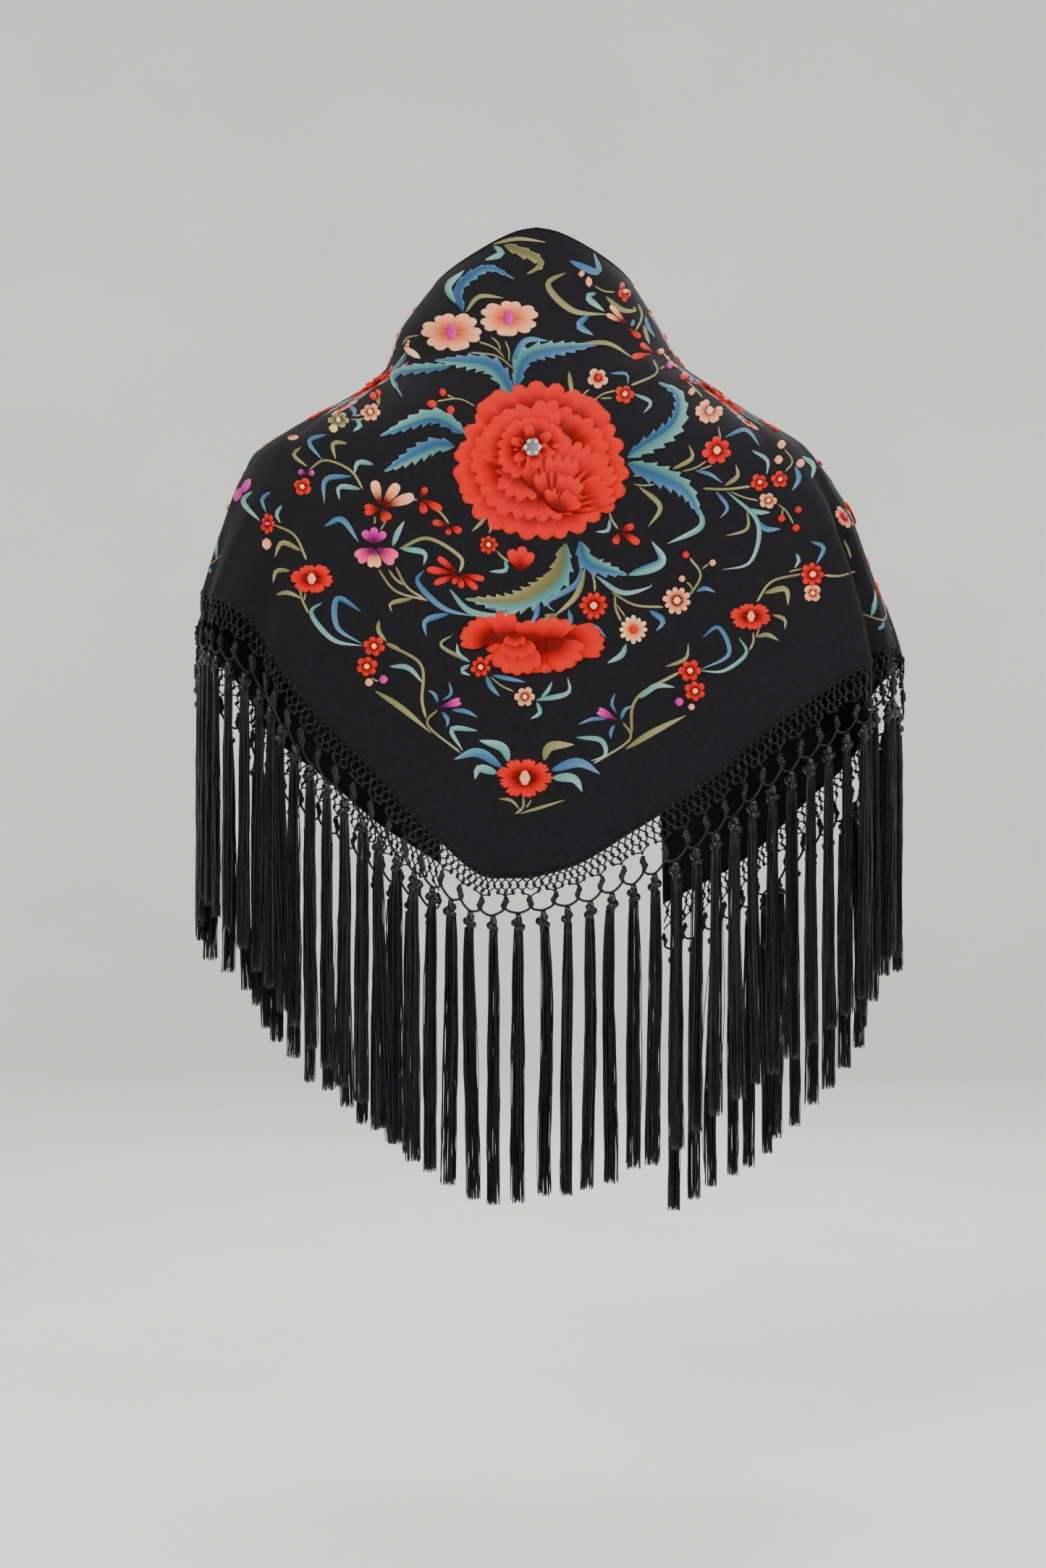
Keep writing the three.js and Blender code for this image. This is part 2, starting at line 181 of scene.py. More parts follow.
def sectionPoint(turn, height):
    # the point of the drape at a turn from the middle of the back and a height, in metres
    lean = drape["leanAtPoint"] * smoothStep(-height, 0, -drape["leanHeight"])
    angle = np.radians(turn + lean)
    sin, cos = np.sin(angle), np.cos(angle)
    n = fullnessAt(height)
    square = (np.abs(sin) ** n + np.abs(cos) ** n) ** (-1 / n)
    depth = np.where(cos > 0, backDepthAt(height), frontDepthAt(height))
    halfWidth = halfWidthAt(height)
    x, y = halfWidth * square * sin, -depth * square * cos
    outwards = unit(np.stack([x / halfWidth**2, y / depth**2], -1))
    fold = np.zeros_like(x)
    for side, foldTurn, foldHalf, foldOut, start, full in drape["folds"]:
        away = np.minimum(np.abs(turn * side - foldTurn) / foldHalf, 1)
        fold += foldOut * (0.5 + 0.5 * np.cos(np.pi * away)) * smoothStep(-height, -start, -full)
    x, y = centreAt(height) + x + outwards[..., 0] * fold, y + outwards[..., 1] * fold
    return np.stack([x, y, height], -1) * mm


def clothPoint(across, down):
    # across is -1 at the left front edge and 1 at the right one, down is 0 at the top and 1 at the hem
    across, down = np.broadcast_arrays(np.asarray(across, float), np.asarray(down, float))
    share = np.abs(across)
    hemTurn = share * drape["hemTurnAtFront"]
    foot = np.where(across < 0, leftHemAt(hemTurn), rightHemAt(hemTurn))
    height = topHeightAt(share) * (1 - down) + foot * down
    return sectionPoint(across * np.where(across < 0, leftEdgeAt(height), rightEdgeAt(height)), height)


def clothNormal(across, down):
    step = 1e-3
    along = clothPoint(across + step, down) - clothPoint(across - step, down)
    below = clothPoint(across, down + step) - clothPoint(across, down - step)
    return unit(np.cross(below, along))


def creaseDepth(points):
    # how far the small creases push the cloth outwards at each point
    total = np.zeros(points.shape[:-1])
    steps = cloth["creaseSteps"]
    share = np.linspace(0, 1, steps + 1)
    for fromTurn, fromHeight, toTurn, toHeight, halfWidth, depth in cloth["creases"]:
        turns = fromTurn + (toTurn - fromTurn) * share
        path = sectionPoint(turns, fromHeight + (toHeight - fromHeight) * share)
        nearest = np.full(total.shape, np.inf)
        along = np.zeros(total.shape)
        for i in range(steps):
            step = path[i + 1] - path[i]
            t = np.clip((points - path[i]) @ step / (step @ step), 0, 1)
            away = np.linalg.norm(points - path[i] - t[..., None] * step, axis=-1)
            along = np.where(away < nearest, (i + t) / steps, along)
            nearest = np.minimum(away, nearest)
        swell = np.exp(-((nearest / (halfWidth * mm)) ** 2))
        total += depth * mm * swell * np.sin(np.pi * along) ** cloth["creaseFade"]
    return total


def drapedCloth(across, down):
    points = clothPoint(across, down)
    return points + clothNormal(across, down) * creaseDepth(points)[..., None]


def makeMesh(name, points, faceGroups, cornerUvs=None, colours=None):
    # faceGroups are arrays of point numbers, one row to a face; cornerUvs has one row to a corner
    faces = [face for group in faceGroups for face in np.asarray(group).tolist()]
    mesh = bpy.data.meshes.new(name)
    mesh.from_pydata(np.asarray(points).reshape(-1, 3).tolist(), [], faces)
    if cornerUvs is not None:
        layer = mesh.uv_layers.new(name="threads")
        layer.data.foreach_set("uv", np.concatenate(cornerUvs).astype(np.float32).ravel())
    if colours is not None:
        attribute = mesh.color_attributes.new(name="silk", type="FLOAT_COLOR", domain="POINT")
        attribute.data.foreach_set("color", np.asarray(colours, dtype=np.float32).ravel())
    mesh.shade_smooth()
    piece = bpy.data.objects.new(name, mesh)
    bpy.context.collection.objects.link(piece)
    return piece


def quadsBetween(grid):
    # the faces between the closed rings of a grid of point numbers
    near, far = grid[..., :-1, :], grid[..., 1:, :]
    return np.stack([near, np.roll(near, -1, -1), np.roll(far, -1, -1), far], -1).reshape(-1, 4)


onceRound = 0.999  # of a cord's u, so that it stays below the next cord's


def tubes(paths, radii, sides):
    # round cords along paths (cord, point, xyz): points, faces and corner uvs, with v along each cord,
    # and u once round it after the cord's own number
    cords, count = paths.shape[:2]
    radii = np.broadcast_to(radii, (cords, count))
    tangents = unit(np.gradient(paths, axis=1))
    upright = np.abs(tangents[:, :1, 2:]) > 0.9
    start = np.where(upright[:, 0], [[1.0, 0, 0]], [[0, 0, 1.0]])
    side = unit(np.cross(tangents[:, 0], start))
    angles = 2 * np.pi * np.arange(sides) / sides
    cos, sin = np.cos(angles)[None, :, None], np.sin(angles)[None, :, None]
    rings = np.empty((cords, count, sides, 3))
    for i in range(count):
        side = unit(side - (side * tangents[:, i]).sum(-1, keepdims=True) * tangents[:, i])
        other = np.cross(tangents[:, i], side)
        ring = cos * side[:, None] + sin * other[:, None]
        rings[:, i] = paths[:, i, None] + ring * radii[:, i, None, None]
    grid = np.arange(cords * count * sides).reshape(cords, count, sides)
    ends = np.concatenate([grid[:, 0, ::-1], grid[:, -1]])
    lengths = lengthsAlong(paths, 1)
    u = np.arange(sides + 1) / sides
    corners = np.empty((cords, count - 1, sides, 4, 2))
    corners[..., 0, 0] = corners[..., 3, 0] = u[:-1]
    corners[..., 1, 0] = corners[..., 2, 0] = u[1:]
    corners[..., 0, 1] = corners[..., 1, 1] = lengths[:, :-1, None]
    corners[..., 2, 1] = corners[..., 3, 1] = lengths[:, 1:, None]
    corners[..., 0] = onceRound * corners[..., 0] + np.arange(cords)[:, None, None, None]
    endUvs = np.zeros((len(ends) * sides, 2))
    return rings.reshape(-1, 3), [quadsBetween(grid), ends], [corners.reshape(-1, 2), endUvs]


def joined(parts):
    # several sets of points, faces and corner uvs as one
    points, faces, uvs, shift = [], [], [], 0
    for partPoints, partFaces, partUvs in parts:
        points.append(partPoints)
        faces += [group + shift for group in partFaces]
        uvs += partUvs
        shift += len(partPoints)
    return np.concatenate(points), faces, uvs


# Materials. Shared effects are node groups that put out only colours, masks and heights.
def newGroup(name, inputs, outputs):
    group = bpy.data.node_groups.new(name, "ShaderNodeTree")
    for label, kind, value in inputs:
        socket = group.interface.new_socket(name=label, in_out="INPUT", socket_type=kind)
        if value is not None:
            socket.default_value = value
    for label, kind in outputs:
        group.interface.new_socket(name=label, in_out="OUTPUT", socket_type=kind)
    return group, group.nodes.new("NodeGroupInput"), group.nodes.new("NodeGroupOutput")


def mathNode(tree, operation, first, second=None, third=None):
    node = tree.nodes.new("ShaderNodeMath")
    node.operation = operation
    for socket, value in zip(node.inputs, (first, second, third)):
        if value is None:
            continue
        if isinstance(value, (int, float)):
            socket.default_value = value
        else:
            tree.links.new(value, socket)
    return node.outputs[0]


def noiseNode(tree, vector, scale, detail=2.0, roughness=0.5):
    node = tree.nodes.new("ShaderNodeTexNoise")
    node.inputs["Scale"].default_value = scale
    node.inputs["Detail"].default_value = detail
    node.inputs["Roughness"].default_value = roughness
    tree.links.new(vector, node.inputs["Vector"])
    return node.outputs["Fac"]


threads = {"stretch": 60.0, "wander": 0.35, "shade": 0.9}
weave = {"threads": 2200.0, "depth": 0.16, "pebbles": (1400.0, 3.0, 0.65), "slubs": (210.0, 4.0, 0.7)}


def makeThreadLines():
    # fine threads that lie side by side: a height and a shade, uneven in their spacing
    group, enter, leave = newGroup(
        "threadLines",
        [("Vector", "NodeSocketVector", None), ("Threads", "NodeSocketFloat", 10.0),
         ("Unevenness", "NodeSocketFloat", 0.5)],
        [("Height", "NodeSocketFloat"), ("Shade", "NodeSocketFloat")],
    )
    split = group.nodes.new("ShaderNodeSeparateXYZ")
    group.links.new(enter.outputs["Vector"], split.inputs[0])
    scaled = mathNode(group, "MULTIPLY", split.outputs[0], enter.outputs["Threads"])
    stretched = group.nodes.new("ShaderNodeCombineXYZ")
    group.links.new(scaled, stretched.inputs[0])
    group.links.new(mathNode(group, "MULTIPLY", split.outputs[1], threads["stretch"]), stretched.inputs[1])
    wander = noiseNode(group, stretched.outputs[0], threads["wander"], 1.0)
    pushed = mathNode(group, "MULTIPLY_ADD", wander, enter.outputs["Unevenness"], scaled)
    wave = mathNode(group, "SINE", mathNode(group, "MULTIPLY", pushed, 2 * math.pi))
    group.links.new(mathNode(group, "MULTIPLY_ADD", wave, 0.5, 0.5), leave.inputs["Height"])
    group.links.new(noiseNode(group, stretched.outputs[0], threads["shade"], 2.0), leave.inputs["Shade"])
    return group


def makeCrepeWeave():
    # warp and weft of tightly twisted threads, with crepe's pebbled surface over them
    group, enter, leave = newGroup(
        "crepeWeave",
        [("Vector", "NodeSocketVector", None), ("Threads", "NodeSocketFloat", weave["threads"])],
        [("Height", "NodeSocketFloat"), ("Slub", "NodeSocketFloat")],
    )
    split = group.nodes.new("ShaderNodeSeparateXYZ")
    group.links.new(enter.outputs["Vector"], split.inputs[0])
    waves = []
    for axis in (0, 1):
        turned = mathNode(group, "MULTIPLY", split.outputs[axis], enter.outputs["Threads"])
        waves.append(mathNode(group, "SINE", mathNode(group, "MULTIPLY", turned, 2 * math.pi)))
    crossed = mathNode(group, "MULTIPLY", waves[0], waves[1])
    pebbles = noiseNode(group, enter.outputs["Vector"], *weave["pebbles"])
    height = mathNode(group, "MULTIPLY_ADD", crossed, weave["depth"], pebbles)
    group.links.new(height, leave.inputs["Height"])
    group.links.new(noiseNode(group, enter.outputs["Vector"], *weave["slubs"]), leave.inputs["Slub"])
    return group


threadLines = makeThreadLines()
crepeWeave = makeCrepeWeave()


def newMaterial(name, **sockets):
    material = bpy.data.materials.new(name)
    material.use_nodes = True
    shader = material.node_tree.nodes["Principled BSDF"]
    for label, value in sockets.items():
        shader.inputs[label].default_value = value
    return material, material.node_tree, shader


def useGroup(tree, group, **values):
    node = tree.nodes.new("ShaderNodeGroup")
    node.node_tree = group
    for label, value in values.items():
        node.inputs[label].default_value = value
    return node


def ramp(tree, factor, low, high, start=0.0, end=1.0):
    node = tree.nodes.new("ShaderNodeValToRGB")
    node.color_ramp.elements[0].position = start
    node.color_ramp.elements[0].color = (*low, 1)
    node.color_ramp.elements[1].position = end
    node.color_ramp.elements[1].color = (*high, 1)
    tree.links.new(factor, node.inputs[0])
    return node.outputs[0]


def bump(tree, shader, height, strength, distance):
    node = tree.nodes.new("ShaderNodeBump")
    node.inputs["Strength"].default_value = strength
    node.inputs["Distance"].default_value = distance
    tree.links.new(height, node.inputs["Height"])
    tree.links.new(node.outputs[0], shader.inputs["Normal"])


def uvOf(tree):
    node = tree.nodes.new("ShaderNodeUVMap")
    node.uv_map = "threads"
    return node.outputs[0]


def roughen(tree, shader, factor, change, least):
    tree.links.new(mathNode(tree, "MULTIPLY_ADD", factor, change, least), shader.inputs["Roughness"])


crepe = {
    "sockets": {"Specular IOR Level": 0.11, "Sheen Weight": 0.035, "Sheen Roughness": 0.45,
                "Sheen Tint": (0.62, 0.6, 0.66, 1)},
    "shades": ((0.0032, 0.0029, 0.0035), (0.0082, 0.0074, 0.0088), 0.3, 0.75),
    "roughness": (0.16, 0.68),
    "bump": (0.55, 0.00022),
}


def makeCrepe():
    material, tree, shader = newMaterial("blackCrepe", **crepe["sockets"])
    surface = useGroup(tree, crepeWeave)
    tree.links.new(uvOf(tree), surface.inputs["Vector"])
    tree.links.new(ramp(tree, surface.outputs["Slub"], *crepe["shades"]), shader.inputs["Base Color"])
    roughen(tree, shader, surface.outputs["Slub"], *crepe["roughness"])
    bump(tree, shader, surface.outputs["Height"], *crepe["bump"])
    return material


# The light colour is partly a painted sheen: only the few brightest cords reach it.
silkCords = {  # dark, light, threads round it, specular level, least roughness, bump's strength and depth
    "blackSilkCord": (
        (0.0012, 0.0011, 0.0014), (0.0065, 0.006, 0.0072), 6.0, 0.24, 0.32, 0.5, 0.00012),
    "blackSilkStrands": (
        (0.0003, 0.0002, 0.0004), (0.024, 0.022, 0.027), 3.0, 0.2, 0.3, 0.35, 0.0001),
    "blackSilkKnot": (
        (0.0006, 0.0005, 0.0008), (0.004, 0.0036, 0.0046), 9.0, 0.3, 0.2, 0.6, 0.0002),
}
cordShade = {"unevenness": 0.8, "power": 3.0, "threads": 0.5, "start": 0.2, "end": 1.2, "roughness": 0.2}


def makeCord(name, low, high, count, shine, least, strength, distance):
    material, tree, shader = newMaterial(name, **{"Specular IOR Level": shine})
    lines = useGroup(tree, threadLines, Threads=count, Unevenness=cordShade["unevenness"])
    uv = uvOf(tree)
    tree.links.new(uv, lines.inputs["Vector"])
    # each cord has a random brightness of its own, from the whole part of its u, and the few brightest cords
    # carry a painted sheen
    split = tree.nodes.new("ShaderNodeSeparateXYZ")
    tree.links.new(uv, split.inputs[0])
    noise = tree.nodes.new("ShaderNodeTexWhiteNoise")
    noise.noise_dimensions = "1D"
    tree.links.new(mathNode(tree, "FLOOR", split.outputs[0]), noise.inputs["W"])
    # the power leaves most cords dark and a few bright, and these bright ones are a painted sheen
    ownToneAndSheen = mathNode(tree, "POWER", noise.outputs["Value"], cordShade["power"])
    shade = mathNode(tree, "MULTIPLY_ADD", lines.outputs["Shade"], cordShade["threads"], ownToneAndSheen)
    colour = ramp(tree, shade, low, high, cordShade["start"], cordShade["end"])
    tree.links.new(colour, shader.inputs["Base Color"])
    roughen(tree, shader, lines.outputs["Shade"], cordShade["roughness"], least)
    bump(tree, shader, lines.outputs["Height"], strength, distance)
    return material


crepeMaterial = makeCrepe()
netMaterial, fringeMaterial, knotMaterial = (makeCord(name, *look) for name, look in silkCords.items())

floss = {
    "sockets": {"Specular IOR Level": 0.1, "Sheen Weight": 0.01, "Sheen Roughness": 0.3},
    "threads": 1300.0,
    "unevenness": 0.4,
    "shade": (0.5, 0.48),
    # painted shade: how much darker the grooves between threads are than their crowns
    "paintedGrooveShade": 0.34,
    "roughness": (0.25, 0.3),
    "bump": (0.6, 0.0002),
}


def makeFloss():
    # each motif's silk comes from its own colour attribute, and fine threads lie across or along it, with
    # painted shade in the grooves between them
    material, tree, shader = newMaterial("silkFloss", **floss["sockets"])
    lines = useGroup(tree, threadLines, Threads=floss["threads"], Unevenness=floss["unevenness"])
    tree.links.new(uvOf(tree), lines.inputs["Vector"])
    silk = tree.nodes.new("ShaderNodeVertexColor")
    silk.layer_name = "silk"
    shade = mathNode(tree, "MULTIPLY_ADD", lines.outputs["Shade"], *floss["shade"])
    # painted shade: the colour is darker in the grooves between the threads and lighter on their crowns
    shade = mathNode(tree, "MULTIPLY_ADD", lines.outputs["Height"], floss["paintedGrooveShade"], shade)
    mixed = tree.nodes.new("ShaderNodeMix")
    mixed.data_type = "RGBA"
    mixed.blend_type = "MULTIPLY"
    mixed.inputs[0].default_value = 1.0
    tree.links.new(silk.outputs["Color"], mixed.inputs[6])
    tree.links.new(shade, mixed.inputs[7])
    tree.links.new(mixed.outputs[2], shader.inputs["Base Color"])
    roughen(tree, shader, lines.outputs["Shade"], *floss["roughness"])
    bump(tree, shader, lines.outputs["Height"], *floss["bump"])
    return material


flossMaterial = makeFloss()
print("materials made")


# The cloth: a grid laid on the drape, then given its thickness.
def makePanel():
    deselect()
    columns, rows = cloth["columns"], cloth["rows"]
    bpy.ops.mesh.primitive_grid_add(x_subdivisions=columns, y_subdivisions=rows, size=2, calc_uvs=True)
    piece = bpy.context.object
    piece.name = piece.data.name = "shawlCloth"
    mesh = piece.data
    flat = np.empty(len(mesh.vertices) * 3)
    mesh.vertices.foreach_get("co", flat)
    flat = flat.reshape(-1, 3)
    across, down = flat[:, 0], (1 - flat[:, 1]) / 2
    points = drapedCloth(across, down)
    mesh.vertices.foreach_set("co", points.ravel())
    # the uv is the distance along the cloth, in metres, so that the weave keeps its scale
    share = np.linspace(-1, 1, columns + 1)
    drop = np.linspace(0, 1, rows + 1)
    grid = clothPoint(share[None, :], drop[:, None])
    alongRows, alongColumns = lengthsAlong(grid, 1), lengthsAlong(grid)
    alongRows -= alongRows[:, columns // 2, None]
    column = np.rint((across + 1) / 2 * columns).astype(int)
    row = np.rint(down * rows).astype(int)
    uv = np.stack([alongRows[row, column], alongColumns[row, column]], -1)
    corner = np.empty(len(mesh.loops), dtype=np.int32)
    mesh.loops.foreach_get("vertex_index", corner)
    mesh.uv_layers[0].name = "threads"
    mesh.uv_layers[0].data.foreach_set("uv", uv[corner].astype(np.float32).ravel())
    mesh.update()
    face = mesh.polygons[columns // 2 + columns * (rows // 2)].vertices
    if np.cross(points[face[1]] - points[face[0]], points[face[2]] - points[face[1]])[1] > 0:
        mesh.flip_normals()
    return piece


panel = makePanel()
clothTree = BVHTree.FromPolygons(
    [vertex.co[:] for vertex in panel.data.vertices], [face.vertices[:] for face in panel.data.polygons]
)
panel.data.materials.append(crepeMaterial)
panel.data.shade_smooth()
wall = panel.modifiers.new("wall", "SOLIDIFY")
wall.thickness = cloth["thickness"]
wall.offset = -1
wall.use_even_offset = False
deselect()
panel.select_set(True)
bpy.context.view_layer.objects.active = panel
bpy.ops.object.modifier_apply(modifier="wall")


def makeHem():
    # the narrow rolled hem along all three edges, as one closed cord
    across, down = cloth["hemSteps"]
    share = np.linspace(-1, 1, across + 1)
    drop = np.linspace(0, 1, down + 1)
    top = np.stack([share, np.zeros_like(share)], -1)
    right = np.stack([np.ones_like(drop), drop], -1)
    foot = np.stack([share[::-1], np.ones_like(share)], -1)
    left = np.stack([-np.ones_like(drop), drop[::-1]], -1)
    track = np.concatenate([top[:-1], right[:-1], foot[:-1], left[:-1], top[:1]])
    inset = cloth["hemInset"]
    inside = np.clip(track, [inset - 1, inset], 1 - inset)
    normals = clothNormal(inside[:, 0], inside[:, 1])
    path = drapedCloth(track[:, 0], track[:, 1]) - normals * cloth["thickness"] / 2
    return makeMesh("rolledHem", *tubes(path[None], cloth["hemRadius"], cloth["hemSides"]))


hem = makeHem()
hem.data.materials.append(crepeMaterial)
print("cloth draped")


# Embroidery: raised patches of satin stitch in silk floss, laid on the cloth from charts.
embroidery = {
    "lift": 0.00025,
    "crown": 0.00045,
    "layer": 0.0003,
    "sink": 0.00015,
    "depth": 0.00035,
    "rowLength": 0.0026,
    "rowLimits": (5, 26),
    "toothLength": 0.0088,
    "wideLeaf": 0.0085,
    "crownWidth": 0.0014,
    "petalRowLength": 0.002,
    "petalRowLimits": (4, 8),
    "flattest": 0.2,
    "rayStart": 0.012,
    "rayEnd": 0.03,
    "stretch": 4,
    "slack": 0.004,
    "unrollHeight": -150,
    "unrollTurn": 170,
}
silks = {  # shade, tone and light of each floss, from 0 to 255 as the eye sees them
    "red": ((104, 2, 0), (206, 10, 2), (224, 38, 18)),
    "peach": ((214, 92, 48), (240, 148, 98), (250, 190, 148)),
    "cream": ((204, 132, 66), (236, 182, 116), (250, 218, 168)),
    "magenta": ((104, 6, 76), (184, 22, 132), (222, 70, 166)),
    "rose": ((160, 14, 60), (222, 52, 104), (240, 112, 140)),
    "teal": ((40, 88, 84), (90, 144, 136), (158, 196, 184)),
    "blue": ((22, 50, 84), (56, 100, 134), (112, 154, 178)),
    "sage": ((70, 68, 34), (120, 116, 72), (172, 166, 116)),
    "grey": ((60, 52, 56), (104, 98, 104), (164, 160, 160)),
    "pearl": ((120, 128, 130), (186, 194, 194), (224, 230, 228)),
}


def linearColour(silk):
    level = np.array(silks[silk]) / 255
    return np.where(level < 0.04045, level / 12.92, ((level + 0.055) / 1.055) ** 2.4)


def between(first, second, share):
    return first + (second - first) * np.asarray(share)[..., None]


def silkColour(silk, share):
    # from the shade of a floss at 0 through its tone to its light at 1
    shade, tone, light = linearColour(silk)
    share = np.clip(share, 0, 1)
    return np.where(
        share[..., None] < 0.5, between(shade, tone, 2 * share), between(tone, light, 2 * share - 1)
    )


def alongCurve(track, count):
    # a smooth open curve through a few points, evenly divided, and its length
    p = np.asarray(track, float).reshape(-1, 2)
    p = np.concatenate([[2 * p[0] - p[1]], p, [2 * p[-1] - p[-2]]])
    spans = len(p) - 3
    t = np.linspace(0, spans, 16 * spans + 1)
    i = np.minimum(t.astype(int), spans - 1)
    u = (t - i)[:, None]
    a, b, c, d = p[i], p[i + 1], p[i + 2], p[i + 3]
    curve = b + 0.5 * u * ((c - a) + u * ((2 * a - 5 * b + 4 * c - d) + u * (3 * (b - c) + d - a)))
    length = lengthsAlong(curve)
    even = np.linspace(0, length[-1], count)
    return np.stack([np.interp(even, length, curve[:, k]) for k in (0, 1)], -1), length[-1]


# Charts. "photo" counts pixels of the photograph, seen from the camera. "round" counts millimetres
# along the cloth from the middle of the back, positive to the right, and the height.
chartUnit = {"photo": view["metresPerPixel"], "round": mm}
unrollTurns = np.linspace(-1, 1, 1361) * embroidery["unrollTurn"]
unrolled = sectionPoint(unrollTurns, np.full(len(unrollTurns), float(embroidery["unrollHeight"])))
unrolledLength = lengthsAlong(unrolled) / mm
unrolledLength -= np.interp(0, unrollTurns, unrolledLength)


def chartRays(chart, spots):
    if chart == "photo":
        origin = np.array(view["place"])
        x = origin[0] + (spots[:, 0] - view["photoWidth"] / 2) * view["metresPerPixel"]
        z = origin[2] - (spots[:, 1] - view["photoHeight"] / 2) * view["metresPerPixel"]
        rays = unit(np.stack([x, np.zeros_like(x), z], -1) - origin)
        return np.broadcast_to(origin, rays.shape), rays
    turn = np.interp(spots[:, 0], unrolledLength, unrollTurns)
    height = spots[:, 1]
    along = sectionPoint(turn + 0.5, height) - sectionPoint(turn - 0.5, height)
    below = sectionPoint(turn, height - 1) - sectionPoint(turn, height + 1)
    out = unit(np.cross(below, along))
    return sectionPoint(turn, height) + embroidery["rayStart"] * out, -out


def layOnCloth(chart, spots):
    # the places and normals of the cloth under each spot of a chart, or nothing where it runs off
    places, normals = [], []
    for origin, ray in zip(*chartRays(chart, spots.reshape(-1, 2))):
        place, normal, _, distance = clothTree.ray_cast(Vector(origin), Vector(ray))
        if place is None or normal.dot(Vector(ray)) > -embroidery["flattest"]:
            return None
        if chart == "round" and distance > embroidery["rayEnd"]:
            return None
        places.append(place)
        normals.append(normal)
    places = np.array(places).reshape(*spots.shape[:2], 3)
    step = np.linalg.norm(np.diff(places, axis=1), axis=-1)
    flatStep = np.linalg.norm(np.diff(spots, axis=1), axis=-1) * chartUnit[chart]
    if (step > embroidery["stretch"] * flatStep + embroidery["slack"]).any():
        return None
    return places, np.array(normals).reshape(places.shape)


class Stitching:
    # gathers patches: rows run along a patch and columns across it
    def __init__(self):
        self.points, self.faces, self.uvs, self.colours = [], [], [], []
        self.count = 0
        self.offTheCloth = 0

    def add(self, chart, spots, crown, colours, uvs, level=0):
        laid = layOnCloth(chart, spots)
        if laid is None:
            self.offTheCloth += 1
            return
        places, normals = laid
        base = level * embroidery["layer"]
        rise = base + embroidery["lift"] + embroidery["crown"] * crown
        rise[:, [0, -1]] = base - embroidery["sink"]
        rise[[0, -1]] = base - embroidery["sink"]
        columns = spots.shape[1]
        middle = columns // 2
        top = places + normals * rise[..., None]
        if chart == "photo":  # worked through the cloth, so it shows on the inner face as well
            order = np.arange(columns)[::-1]
            depth = np.full(spots.shape[:2], cloth["thickness"] + embroidery["lift"])
            depth[:, [0, -1]] = depth[[0, -1]] = cloth["thickness"] - embroidery["sink"]
        else:
            order = np.array([middle])
            depth = np.full(spots.shape[:2], embroidery["depth"])
        under = (places - normals * depth[..., None])[:, order]
        ring = np.concatenate([top, under], axis=1)
        grid = np.arange(ring.shape[0] * ring.shape[1]).reshape(ring.shape[:2])
        quads = quadsBetween(grid)
        ends = np.stack([grid[0, ::-1], grid[-1]])
        corner = ring.reshape(-1, 3)[quads[middle]]
        if np.cross(corner[1] - corner[0], corner[3] - corner[0]) @ normals[0, middle] < 0:
            quads, ends = quads[:, ::-1], ends[:, ::-1]
        sheet = np.concatenate([uvs, uvs[:, order]], axis=1).reshape(-1, 2)
        tint = np.concatenate([colours, colours[:, order]], axis=1).reshape(-1, 3)
        self.uvs += [sheet[quads].reshape(-1, 2), sheet[ends].reshape(-1, 2)]
        self.faces += [quads + self.count, ends + self.count]
        self.points.append(ring.reshape(-1, 3))
        self.colours.append(np.concatenate([tint, np.ones((len(tint), 1))], axis=1))
        self.count += len(tint)

    def make(self, name):
        points, colours = np.concatenate(self.points), np.concatenate(self.colours)
        piece = makeMesh(name, points, self.faces, self.uvs, colours)
        piece.data.materials.append(flossMaterial)
        print(name, "patches off the cloth:", self.offTheCloth)
        return piece


leafStitches, petalStitches = Stitching(), Stitching()

blade = {
    "columns": {"wide": 9, "stem": 3, "leaf": 5, "round": 5},
    "stemEnds": (0.4, 8),
    "rib": 0.15,
    "broadest": {"wide": 0.62, "leaf": 0.8},
    "fullness": 0.85,
    "leastWidth": 0.05,
    "teeth": (0.5, 0.74),
    "rake": 0.7,
    "tones": {"wide": (0.02, 0.3, 0.55, 1.5), "narrow": (0.25, 0.4, 0.15, 1)},
    "otherSide": 0.12,
    "slant": {"wide": 0.8, "narrow": 0.45},
}


